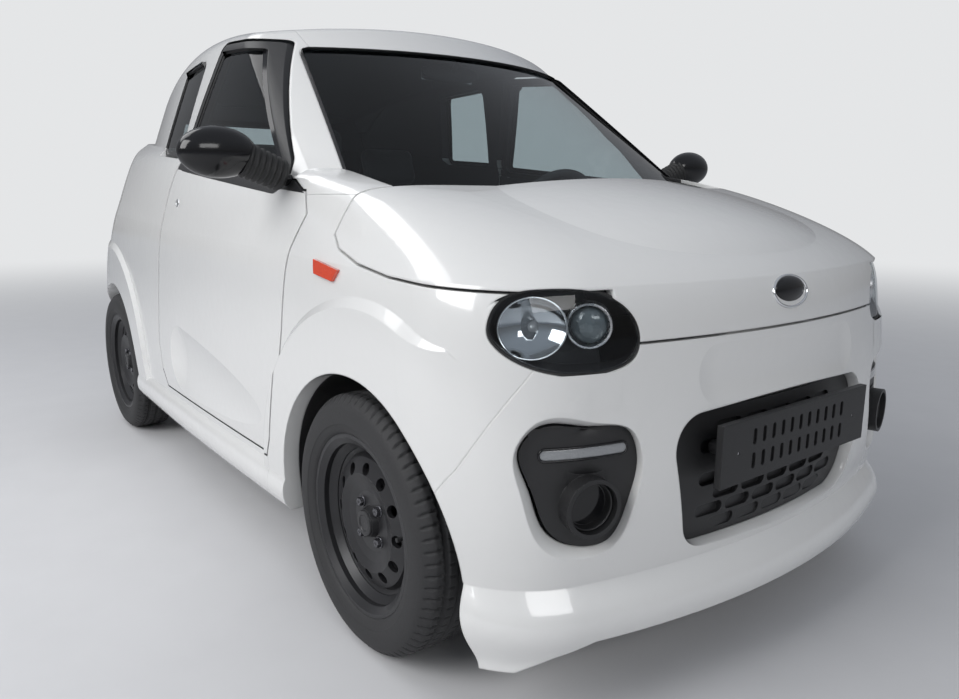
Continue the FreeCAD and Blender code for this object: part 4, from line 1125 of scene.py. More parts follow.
@dataclass(frozen=True)
class Outlines:
    """Edges round the outer faces of a CAD node made of thin curved plates."""

    middle: Point = (0.0, 0.0, 0.75)
    squeeze: float = 0.3
    facing: float = 0.72
    digits: int = 5
    fewest: int = 20

    def is_outer(self, polygon: bpy.types.MeshPolygon) -> bool:
        """Whether a face looks away from the middle of the car.

        Args:
            polygon: the face.

        Returns:
            True for a face on the outer side of its plate.
        """
        away = polygon.center - Vector(self.middle)
        away.x *= self.squeeze
        return polygon.normal.dot(away.normalized()) > self.facing

    def rim(self, node: str) -> tuple[dict[tuple, list[tuple]], dict[tuple, Vector]]:
        """Edges that just one outer face has.

        Args:
            node: name of the CAD node.

        Returns:
            The ends linked to each end of such an edge, and the sum of the face
            normals at each end.
        """
        mesh = frame["nodes"][node].data
        keys = [tuple(round(value, self.digits) for value in vertex.co) for vertex in mesh.vertices]
        edges: dict[tuple, list[bpy.types.MeshPolygon]] = {}
        for polygon in mesh.polygons:
            corners = [keys[index] for index in polygon.vertices]
            for first, second in zip(corners, corners[1:] + corners[:1]):
                if first != second:
                    edges.setdefault(tuple(sorted((first, second))), []).append(polygon)
        links: dict[tuple, list[tuple]] = {}
        normals: dict[tuple, Vector] = {}
        for (first, second), owners in edges.items():
            outer = [polygon for polygon in owners if self.is_outer(polygon)]
            if len(outer) == 1:
                links.setdefault(first, []).append(second)
                links.setdefault(second, []).append(first)
                for end in (first, second):
                    normals[end] = normals.get(end, Vector()) + outer[0].normal
        return links, normals

    def loops(self, node: str) -> list[tuple[list[Vector], list[Vector]]]:
        """Closed edges of the node's plates.

        Args:
            node: name of the CAD node.

        Returns:
            For each plate the points round its outer face, in order, and the face
            normals there.
        """
        links, normals = self.rim(node)
        found = []
        while links:
            start = next(iter(links))
            loop = [start]
            while links.get(loop[-1]):
                following = links[loop[-1]].pop()
                links[following] = [end for end in links.get(following, []) if end != loop[-1]]
                if following == start:
                    break
                loop.append(following)
            for end in loop:
                if not links.get(end):
                    links.pop(end, None)
            if len(loop) > self.fewest:
                found.append(([Vector(end) for end in loop], [normals[end].normalized() for end in loop]))
        return found


def evened(path: list[Vector], normals: list[Vector], step: float) -> tuple[list[Vector], list[Vector]]:
    """Closed path and its normals with places at even steps.

    Args:
        path: places round the path.
        normals: normal at each place.
        step: distance between the new places.

    Returns:
        The new places and the normals there.
    """
    places, ups = [], []
    carried = 0.0
    for index, place in enumerate(path):
        following = (index + 1) % len(path)
        length = (path[following] - place).length
        while carried < length:
            share = carried / length
            places.append(place.lerp(path[following], share))
            ups.append(normals[index].lerp(normals[following], share).normalized())
            carried += step
        carried -= length
    return places, ups


@dataclass
class Seals(Assembly):
    """Rubber strip and black printed band round every pane.

    The strip is (across, up) about the edge of the pane.
    """

    panes: tuple[tuple[str, str], ...] = (
        ("door_glass_right", "door_right_body"), ("door_glass_left", "door_left_body"),
        ("fixed_glass", CAR), ("tailgate_glass", "tailgate_body"))
    step: float = 0.012
    band_width: float = 0.020
    band_lift: float = 0.0006
    strip: Profile = ((-0.0085, -0.004), (0.0085, -0.004), (0.0085, 0.0), (0.006, 0.0018), (-0.006, 0.0018),
                      (-0.0085, 0.0))
    strip_split: float = 50.0

    def make(self) -> None:
        """Sweep a strip and a band round each pane."""
        for node, body in self.panes:
            for index, (loop, normals) in enumerate(Outlines().loops(node)):
                path, ups = evened(loop, normals, self.step)
                strip = swept(f"seal_{node}_{index}", path, self.strip, Finish.SEAL_RUBBER, True, ups)
                split_edges(strip, self.strip_split)
                self.keep(strip, body)
                self.keep(self.band(f"band_{node}_{index}", path, ups), body)

    def band(self, name: str, path: list[Vector], ups: list[Vector]) -> bpy.types.Object:
        """Black printed band just inside the edge of a pane.

        Args:
            name: object name.
            path: places round the edge.
            ups: normal of the pane at each place.

        Returns:
            The object.
        """
        middle = sum(path, Vector()) / len(path)
        inner, outer = [], []
        for index, (place, up) in enumerate(zip(path, ups)):
            along = (path[(index + 1) % len(path)] - path[index - 1]).normalized()
            across = along.cross(up)
            if across.dot(middle - place) < 0:
                across = -across
            outer.append(place + up * self.band_lift)
            inner.append(place + across * self.band_width + up * self.band_lift)
        return make_mesh(name, outer + inner, grid_faces(2, len(path), False, True), Finish.GLOSS_BLACK)


def level_aim(degrees: float, side: Side) -> Vector:
    """Level direction turned outwards from straight ahead.

    Args:
        degrees: angle of the turn.
        side: side of the car it turns to.

    Returns:
        The direction.
    """
    angle = math.radians(degrees)
    return Vector((math.cos(angle), side.value * math.sin(angle), 0))


@dataclass(frozen=True)
class Pocket:
    """Opening in the body, with its middle on the right and its level turn outwards."""

    middle: Point
    turn: float
    stand_off: float = 0.3

    def aim(self, side: Side) -> Vector:
        """Direction that the opening faces."""
        return level_aim(self.turn, side)

    def place(self, side: Side, outward: float, up: float, depth: float = 0.0) -> Vector:
        """Point near the middle of the opening.

        Args:
            side: side of the car.
            outward: distance away from the car's middle line.
            up: distance upwards.
            depth: distance ahead of the opening.

        Returns:
            The point.
        """
        aim = self.aim(side)
        across = Vector((-aim.y, aim.x, 0)) * side.value
        x, y, z = self.middle
        return Vector((x, y * -side.value, z)) + across * outward + UP * up + aim * depth

    def start(self, side: Side, outward: float, up: float) -> Vector:
        """Place of an opening, moved ahead so that a ray can start there."""
        return self.place(side, outward, up, self.stand_off)


@dataclass(frozen=True)
class Filler:
    """Skin over a dip in a panel that follows the panel around the dip.

    Places are (outwards, up) from the middle of a pocket. A surface is fitted to
    the panel around the dip. The skin is the panel itself where the panel's
    distance from that surface lies in near, and an even bridge elsewhere.
    """

    pocket: Pocket
    low: Pair
    high: Pair
    dip_low: Pair
    dip_high: Pair
    margin: float = 0.035
    lift: float = 0.0004
    order: int = 3
    scale: float = 10.0
    steps: int = 36
    avoid: Point = (0.0, 0.0, 0.0)
    near: Pair = (-0.0005, 0.004)
    rounds: int = 600
    fits: int = 3
    least_error: float = 0.0005
    error_share: float = 2.0

    def depth(self, probe: Probe, side: Side, u: float, w: float) -> float | None:
        """Distance of the panel ahead of the pocket's middle.

        Args:
            probe: finds places on the panel.
            side: side of the car.
            u: distance outwards.
            w: distance up.

        Returns:
            The distance, or None where there is no panel.
        """
        start = self.pocket.start(side, u, w)
        spot = probe.hit(start, -self.pocket.aim(side))
        return self.pocket.stand_off - (spot[0] - start).length if spot else None

    def terms(self, u: float, w: float) -> list[float]:
        """Powers of a place, up to the order of the surface."""
        return [(u * self.scale) ** a * (w * self.scale) ** b
                for a in range(self.order + 1) for b in range(self.order + 1 - a)]

    def between(self, axis: int, index: int, margin: float = 0.0) -> float:
        """Place of a row or column of the skin, or of the samples around it.

        Args:
            axis: 0 for a column's place outwards and 1 for a row's place up.
            index: number of the row or column.
            margin: how far the samples reach beyond the skin.

        Returns:
            The place along that axis.
        """
        low, high = self.low[axis] - margin, self.high[axis] + margin
        return low + (high - low) * index / (self.steps - 1)

    def in_dip(self, u: float, w: float) -> bool:
        """Whether a place lies in the box round the dip."""
        return all(low <= value <= high for value, low, high in zip((u, w), self.dip_low, self.dip_high))

    def fitted(self, probe: Probe, side: Side) -> np.ndarray:
        """Factors of the surface that fits the panel around the dip.

        Args:
            probe: finds places on the panel.
            side: side of the car.

        Returns:
            A factor for each term.
        """
        rows, depths = [], []
        for row, column in np.ndindex(self.steps, self.steps):
            u, w = self.between(0, column, self.margin), self.between(1, row, self.margin)
            near_tube = math.hypot(u - self.avoid[0], w - self.avoid[1]) < self.avoid[2]
            depth = None if near_tube or self.in_dip(u, w) else self.depth(probe, side, u, w)
            if depth is not None:
                rows.append(self.terms(u, w))
                depths.append(depth)
        rows, depths = np.array(rows), np.array(depths)
        for _ in range(self.fits):
            factors = np.linalg.lstsq(rows, depths, rcond=None)[0]
            error = np.abs(rows @ factors - depths)
            close = error < max(self.least_error, self.error_share * float(np.median(error)))
            rows, depths = rows[close], depths[close]
        return factors

    def levelled(self, probe: Probe, side: Side) -> np.ndarray:
        """Depth of the skin: the panel where it is sound, and a level bridge over the dip.

        Args:
            probe: finds places on the panel.
            side: side of the car.

        Returns:
            Depth at each row and column.
        """
        factors = self.fitted(probe, side)
        smooth = np.zeros((self.steps, self.steps))
        gaps, known = np.zeros_like(smooth), np.zeros_like(smooth, dtype=bool)
        for row, column in np.ndindex(*smooth.shape):
            u, w = self.between(0, column), self.between(1, row)
            smooth[row, column] = float(np.dot(self.terms(u, w), factors))
            real = self.depth(probe, side, u, w)
            if real is not None:
                gap = real - smooth[row, column]
                gaps[row, column] = gap
                sound = gap > self.near[0] or not self.in_dip(u, w)
                known[row, column] = sound and gap < self.near[1]
        filled = np.where(known, gaps, 0.0)
        for _ in range(self.rounds):
            wide = np.pad(filled, 1, mode="edge")
            mean = (wide[2:, 1:-1] + wide[:-2, 1:-1] + wide[1:-1, 2:] + wide[1:-1, :-2]) / 4
            filled = np.where(known, gaps, mean)
        return smooth + filled

    def build(self, name: str, node: str, side: Side, finish: Finish) -> bpy.types.Object:
        """Skin in its place.

        Args:
            name: object name.
            node: CAD node of the panel.
            side: side of the car.
            finish: finish of the object.

        Returns:
            The object.
        """
        grid = self.levelled(Probe(node), side)
        points = [self.pocket.place(side, self.between(0, column), self.between(1, row),
                                    float(grid[row, column]) + self.lift)
                  for row, column in np.ndindex(*grid.shape)]
        faces = grid_faces(self.steps, self.steps, False, False)
        if side is Side.RIGHT:
            faces = [tuple(reversed(face)) for face in faces]
        return make_mesh(name, points, faces, finish)


@dataclass(frozen=True)
class LampRoom:
    """Room between the lens of a headlamp and the back of its body."""

    pocket: Pocket
    side: Side
    lens: Probe
    back: Probe
    bare_start: float = 0.29
    least: float = 0.02
    usual: float = 0.05

    def place(self, outward: float, up: float, share: float) -> Vector:
        """Place between the lens and the back.

        Args:
            outward: distance outwards from the pocket's middle.
            up: distance up from the pocket's middle.
            share: 0 at the lens and 1 at the back.

        Returns:
            The place.
        """
        aim = self.pocket.aim(self.side)
        start = self.pocket.start(self.side, outward, up)
        near = self.lens.hit(start, -aim)
        far = self.back.hit(start, -aim)
        front = near[0] if near else start - aim * self.bare_start
        rear = far[0] if far and (far[0] - front).length > self.least else front - aim * self.usual
        return front.lerp(rear, share)


@dataclass
class Headlamps(Assembly):
    """Reflector bowl, bulb and projector of each headlamp, a black tube of painted shade along the gap round
    each lens, and the skin under it.

    Places are (outwards, up) from the middle of the pocket, depths are shares of
    the room behind the lens and sections are (radius, distance along the aim).
    """

    pocket: Pocket = Pocket((1.345, -0.535, 0.735), 46.0)
    bowl_middle: Pair = (0.055, -0.001)
    bowl_reach: Pair = (0.058, 0.052)
    bowl_depth: float = 0.80
    bowl_rise: float = 0.52
    bowl_rings: int = 9
    bowl_sides: int = 48
    bowl_hole: float = 0.35
    bowl_rim: float = 0.0022
    bulb: Profile = ((0.010, -0.018), (0.010, 0.0), (0.0085, 0.008), (0.004, 0.013), (0.0005, 0.014))
    bulb_depth: float = 0.62
    projector: Pair = (-0.040, 0.000)
    projector_depth: float = 0.45
    shroud: Profile = ((0.040, -0.028), (0.041, 0.010), (0.0395, 0.014), (0.036, 0.0145), (0.0345, 0.006),
                       (0.0335, -0.004))
    dome_seat: Pair = (0.0335, -0.006)
    dome_base: float = 0.004
    dome_radius: float = 0.033
    dome_bulge: float = 0.020
    dome_steps: int = 8
    # Section and spacing of the black rubber tube round each lens: painted shade that stands for the dark
    # gap between lens and body.
    gap_shade_step: float = 0.008
    gap_shade: Profile = ring_shape(8, 0.0034, 0.0028)
    corner: Filler = Filler(pocket, (-0.100, -0.140), (0.040, -0.0765), (-0.088, -0.126), (0.022, -0.0765))

    def make(self) -> None:
        """Make both lamps, the skins under them and the black tubes of painted shade round them."""
        for side in Side:
            self.lamp(side)
            self.keep(self.corner.build(f"lamp_corner_{side.word}", "front_bumper", side, Finish.BODY_PAINT))
        # Thin black tube along each lens edge: painted shade of the gap between lens and body.
        for index, (loop, normals) in enumerate(Outlines().loops("headlamp_glasses")):
            path, ups = evened(loop, normals, self.gap_shade_step)
            self.keep(swept(f"lamp_gasket_{index}", path, self.gap_shade, Finish.SEAL_RUBBER, True, ups))

    def dome(self) -> Profile:
        """Section of the projector's bulged glass."""
        angles = [math.pi / 2 * step / self.dome_steps for step in range(self.dome_steps + 1)]
        return (self.dome_seat, *((self.dome_radius * math.cos(angle),
                                   self.dome_bulge * math.sin(angle) - self.dome_base) for angle in angles))

    def lamp(self, side: Side) -> None:
        """Make the pieces behind one lens.

        Args:
            side: side of the car.
        """
        aim = self.pocket.aim(side)
        room = LampRoom(self.pocket, side, Probe("headlamp_glasses"), Probe("headlamp_bodies"))
        u0, w0 = self.bowl_middle
        spots, faces = disc(self.bowl_rings, self.bowl_sides, self.bowl_hole)
        points = [room.place(u0 + self.bowl_reach[0] * share * math.cos(turn),
                             w0 + self.bowl_reach[1] * share * math.sin(turn),
                             self.bowl_depth - self.bowl_rise * share ** 2) for share, turn in spots]
        self.keep(make_mesh(f"lamp_bowl_{side.word}", points, faces, Finish.BOWL_CHROME))
        edge = points[-self.bowl_sides:]
        self.keep(tube(f"lamp_bowl_rim_{side.word}", edge, self.bowl_rim, Finish.CHROME, closed=True))
        bulb = room.place(u0, w0, self.bulb_depth)
        self.keep(lathe(f"lamp_bulb_{side.word}", self.bulb, bulb, aim, Finish.LAMP_FROST, sides=24))
        middle = room.place(*self.projector, self.projector_depth)
        self.keep(lathe(f"lamp_shroud_{side.word}", self.shroud, middle, aim, Finish.SATIN_SILVER))
        self.keep(lathe(f"lamp_projector_{side.word}", self.dome(), middle, aim, Finish.PROJECTOR_GLASS))


@dataclass
class FogPods(Assembly):
    """Plate with a daytime light bar, and a fog lamp, in each pod.

    Places are (outwards, up) from the middle of the pocket.
    """

    pocket: Pocket = Pocket((1.375, -0.535, 0.470), 26.0)
    cover: Filler = Filler(pocket, (-0.124, -0.004), (0.078, 0.096), (-0.106, 0.004), (0.060, 0.091),
                           margin=0.100, lift=0.0006, order=2, avoid=(-0.034, -0.044, 0.066))
    tube_place: Point = (-0.034, -0.044, 0.018)
    tube_turn: float = 14.0
    ring: Profile = ((0.0455, -0.040), (0.0455, -0.014), (0.043, -0.012), (0.041, -0.014), (0.040, -0.040))
    bowl: Profile = ((0.040, -0.030), (0.030, -0.038), (0.014, -0.0425), (0.001, -0.0428))
    bar_ends: Pair = (-0.096, 0.050)
    bar_up: float = 0.050
    bar_half: float = 0.0105
    bar_tip: float = 0.0001
    bar_columns: int = 40
    bar_rows: int = 5
    bar_lift: float = 0.0012
    bar_thickness: float = 0.002
    bar_rim: float = 0.0022

    def make(self) -> None:
        """Make both pods' lights."""
        for side in Side:
            cover = self.cover.build(f"day_light_plate_{side.word}", "fog_pods", side, Finish.BLACK_TRIM)
            pod = Probe.of(cover)
            self.keep(cover)
            self.bar(side, pod)
            facing = level_aim(self.tube_turn, side)
            mouth = self.pocket.place(side, *self.tube_place)
            self.keep(lathe(f"fog_ring_{side.word}", self.ring, mouth, facing, Finish.BLACK_TRIM))
            self.keep(lathe(f"fog_bowl_{side.word}", self.bowl, mouth, facing, Finish.GLOSS_BLACK))

    def bar(self, side: Side, pod: Probe) -> None:
        """Make the milky daytime light with round ends, in a thin rim.

        Args:
            side: side of the car.
            pod: finds places on the plate that carries the light.
        """
        first, last = self.bar_ends
        grid: list[list[Vector]] = [[] for _ in range(self.bar_rows)]
        for column in range(self.bar_columns + 1):
            turn = math.pi * column / self.bar_columns
            u = (first + last) / 2 - ((last - first) / 2 + self.bar_half) * math.cos(turn)
            over = max(0.0, first - u, u - last) / self.bar_half
            half = self.bar_half * math.sqrt(max(0.0, 1 - over * over)) + self.bar_tip
            for row in range(self.bar_rows):
                w = self.bar_up + half * (2 * row / (self.bar_rows - 1) - 1)
                place, normal = pod.find(self.pocket.start(side, u, w), -self.pocket.aim(side))
                grid[row].append(place + normal * self.bar_lift)
        rim = grid[0] + grid[-1][::-1]
        self.keep(tube(f"day_light_rim_{side.word}", rim, self.bar_rim, Finish.GLOSS_BLACK, closed=True))
        faces = grid_faces(self.bar_rows, self.bar_columns + 1, False, False)
        bar = make_mesh(f"day_light_{side.word}", sum(grid, []), faces, Finish.LAMP_FROST)
        bar.modifiers.new("body", "SOLIDIFY").thickness = self.bar_thickness
        self.keep(bar)


@dataclass
class Nose(Assembly):
    """Badge ring, plate screws and wiper."""

    badge_middle: Point = (1.6, 0.0, 0.768)
    badge_half: Pair = (0.0585, 0.0305)
    badge_steps: int = 64
    badge_lift: float = 0.0008
    badge_wire: float = 0.0032
    screw_places: tuple[Point, ...] = ((1.4795, -0.210, 0.484), (1.4795, 0.210, 0.484))
    screw: Profile = ((0.0031, -0.010), (0.0031, -0.0012), (0.0022, -0.0004), (0.0010, -0.0004),
                      (0.0008, -0.0010))
    blade_start: Point = (1.8, -0.36, 0.952)
    blade_span: Pair = (0.60, 0.010)
    blade_steps: int = 25
    rubber: Profile = ring_shape(8, 0.0035, 0.0065)
    rubber_lift: float = 0.0065
    spring: Profile = ring_shape(8, 0.0055, 0.0035)
    spring_lift: float = 0.016
    spring_inset: int = 2
    arm: Profile = ring_shape(8, 0.008, 0.005)
    arm_foot: Point = (0.925, 0.33, 0.942)
    arm_arch: Point = (0.012, 0, 0.018)
    arm_steps: int = 6
    pivot: Profile = ((0.016, -0.020), (0.016, 0.008), (0.013, 0.013), (0.002, 0.014))
    pivot_axis: Point = (0.35, 0, 1)

    def make(self) -> None:
        """Make the small fittings of the nose."""
        bonnet = Probe("bonnet", "badge")
        x0, y0, z0 = self.badge_middle
        starts = [Vector((x0, y0 + y, z0 + z)) for y, z in ring_shape(self.badge_steps, *self.badge_half)]
        path = bonnet.track(starts, BACK, self.badge_lift)
        self.keep(tube("badge_ring", path, self.badge_wire, Finish.CHROME, closed=True), "bonnet_body")
        for index, place in enumerate(self.screw_places):
            self.keep(lathe(f"plate_screw_{index}", self.screw, Vector(place), AHEAD, Finish.BRIGHT_STEEL,
                            sides=24))
        self.wiper()

    def wiper(self) -> None:
        """Make the blade, its spring frame and the arm."""
        pane = Probe("fixed_glass")
        x0, y0, z0 = self.blade_start
        across, rise = self.blade_span
        shares = [index / (self.blade_steps - 1) for index in range(self.blade_steps)]
        starts = [Vector((x0, y0 + across * share, z0 + rise * share)) for share in shares]
        blade = pane.track(starts, BACK, self.rubber_lift)
        self.keep(swept("wiper_rubber", blade, self.rubber, Finish.SEAL_RUBBER))
        spring = pane.track(starts[self.spring_inset:-self.spring_inset], BACK, self.spring_lift)
        self.keep(swept("wiper_frame", spring, self.spring, Finish.BLACK_TRIM))
        grip = spring[len(spring) // 2]
        foot = Vector(self.arm_foot)
        middle = foot.lerp(grip, 0.5) + Vector(self.arm_arch)
        lower = [foot.lerp(middle, step / self.arm_steps) for step in range(self.arm_steps)]
        upper = [middle.lerp(grip, step / self.arm_steps) for step in range(self.arm_steps + 1)]
        self.keep(swept("wiper_arm", lower + upper, self.arm, Finish.BLACK_TRIM))
        axis = Vector(self.pivot_axis)
        self.keep(lathe("wiper_pivot", self.pivot, foot, axis, Finish.BLACK_TRIM, sides=32))


@dataclass(frozen=True)
class Pad:
    """Stuffed pad with a crowned face, raised side bolsters and sewn channels.

    Its own axes are X along, Y across and Z out of the face. Places across and
    along are shares of its half size.
    """

    size: Point
    rounding: float = 0.038
    crown: float = 0.010
    bolster: float = 0.014
    bolster_from: float = 0.62
    bolster_full: float = 0.86
    end_power: int = 6
    waist: float = 0.012
    channels: tuple[float, ...] = ()
    channel_depth: float = 0.007
    channel_half: float = 0.008
    core: tuple[int, int, int] = (56, 50, 6)

    def height(self, x: float, y: float) -> float:
        """How far the face stands out at a place.

        Args:
            x: place along the pad, from -1 to 1.
            y: place across the pad, from -1 to 1.

        Returns:
            The height in metres.
        """
        along, across, _ = (value / 2 for value in self.size)
        rise = self.crown * (1 - x * x) * (1 - y * y)
        share = (abs(y) - self.bolster_from) / (self.bolster_full - self.bolster_from)
        ends = max(0.0, 1 - x ** self.end_power)
        rise += self.bolster * eased(max(0.0, min(1.0, share))) * ends
        seam = (abs(y) - self.bolster_from) * across / self.channel_half
        rise -= self.channel_depth * math.exp(-seam * seam) * ends
        if abs(y) < self.bolster_from:
            for place in self.channels:
                gap = (x - place) * along / self.channel_half
                rise -= self.channel_depth * math.exp(-gap * gap)
        return rise

    def build(self, name: str, place: Matrix) -> bpy.types.Object:
        """Pad in its place.

        Args:
            name: object name.
            place: from the pad's own axes to the car's.

        Returns:
            The object.
        """
        points, faces = rounded_box(self.size, self.rounding, self.core)
        half = [value / 2 for value in self.size]
        shaped = []
        for point in points:
            x, y = point.x / half[0], point.y / half[1]
            up = max(0.0, min(1.0, (point.z + half[2]) / (2 * half[2])))
            moved = point.copy()
            moved.y -= math.copysign(self.waist * (1 - x * x) * (1 - (2 * up - 1) ** 2) * abs(y), y)
            moved.z += self.height(x, y) * up * up
            shaped.append(place @ moved)
        made = make_mesh(name, shaped, faces, Finish.SEAT_FABRIC)
        return made


@dataclass
class Seats(Assembly):
    """Two bucket seats with sewn covers, headrests, posts and hinge covers.

    The back rest's own places are (ahead, left, up along it) from its pivot.
    """

    across: float = 0.300
    cushion: Pad = Pad((0.462, 0.424, 0.130), channels=(-0.45, -0.05, 0.35))
    back: Pad = Pad((0.580, 0.424, 0.092), channels=(-0.55, -0.25, 0.05, 0.35), bolster=0.016)
    headrest: Pad = Pad((0.146, 0.244, 0.072), rounding=0.032, bolster=0.0, channel_depth=0.0,
                        core=(16, 24, 5))
    recline: float = 17.0
    pivot: Pair = (-0.3623, 0.406)
    cushion_x: float = -0.095
    cushion_foot: float = 0.4003
    back_place: Point = (-0.056, 0, 0.295)
    head_place: Point = (-0.0525, 0, 0.710)
    post_x: float = -0.0525
    post_sides: Pair = (-0.07, 0.07)
    post_heights: tuple[float, ...] = (0.570, 0.60, 0.63, 0.66)
    post_radius: float = 0.006
    collar_height: float = 0.588
    collar: Profile = ((0.012, 0), (0.012, 0.004), (0.009, 0.007), (0.006, 0.007))
    hinge_place: Point = (-0.010, 0.222, 0.055)
    hinge: Profile = ((0.036, -0.004), (0.036, 0.004), (0.030, 0.010), (0.010, 0.012), (0.001, 0.012))

    def make(self) -> None:
        """Make both seats."""
        for side in Side:
            self.seat(side.value * self.across, side.word)

    def lean(self, y: float) -> Matrix:
        """From the back rest's own axes, X ahead and Z up along it, to the car's."""
        turn = Matrix.Rotation(math.radians(-self.recline), 4, "Y")
        return Matrix.Translation((self.pivot[0], y, self.pivot[1])) @ turn

    def seat(self, y: float, word: str) -> None:
        """Make one seat.

        Args:
            y: place of its middle.
            word: side as piece names spell it.
        """
        face_up = Matrix.Translation((self.cushion_x, y, self.cushion_foot + self.cushion.size[2] / 2))
        self.keep(self.cushion.build(f"cushion_{word}", face_up), CAR, "seat_cushions")
        lean = self.lean(y)
        face_ahead = Matrix(((0, 0, 1, 0), (0, -1, 0, 0), (1, 0, 0, 0), (0, 0, 0, 1)))
        back = lean @ Matrix.Translation(self.back_place) @ face_ahead
        self.keep(self.back.build(f"back_rest_{word}", back), CAR, "seat_backs")
        head = lean @ Matrix.Translation(self.head_place) @ face_ahead
        self.keep(self.headrest.build(f"headrest_{word}", head), CAR, "seat_backs")
        for number, offset in enumerate(self.post_sides):
            post = [lean @ Vector((self.post_x, offset, up)) for up in self.post_heights]
            self.keep(tube(f"headrest_post_{word}_{number}", post, self.post_radius, Finish.BRIGHT_STEEL))
            collar = lean @ Vector((self.post_x, offset, self.collar_height))
            self.keep(lathe(f"headrest_collar_{word}_{number}", self.collar, collar, lean.to_3x3() @ UP,
                            Finish.BLACK_TRIM, sides=24))
        ahead, out, up = self.hinge_place
        for flank in (-1, 1):
            hinge = Vector((self.pivot[0] + ahead, y + flank * out, self.pivot[1] + up))
            self.keep(lathe(f"recliner_{word}_{flank + 1}", self.hinge, hinge, Vector((0, flank, 0)),
                            Finish.CABIN_PLASTIC, sides=32))


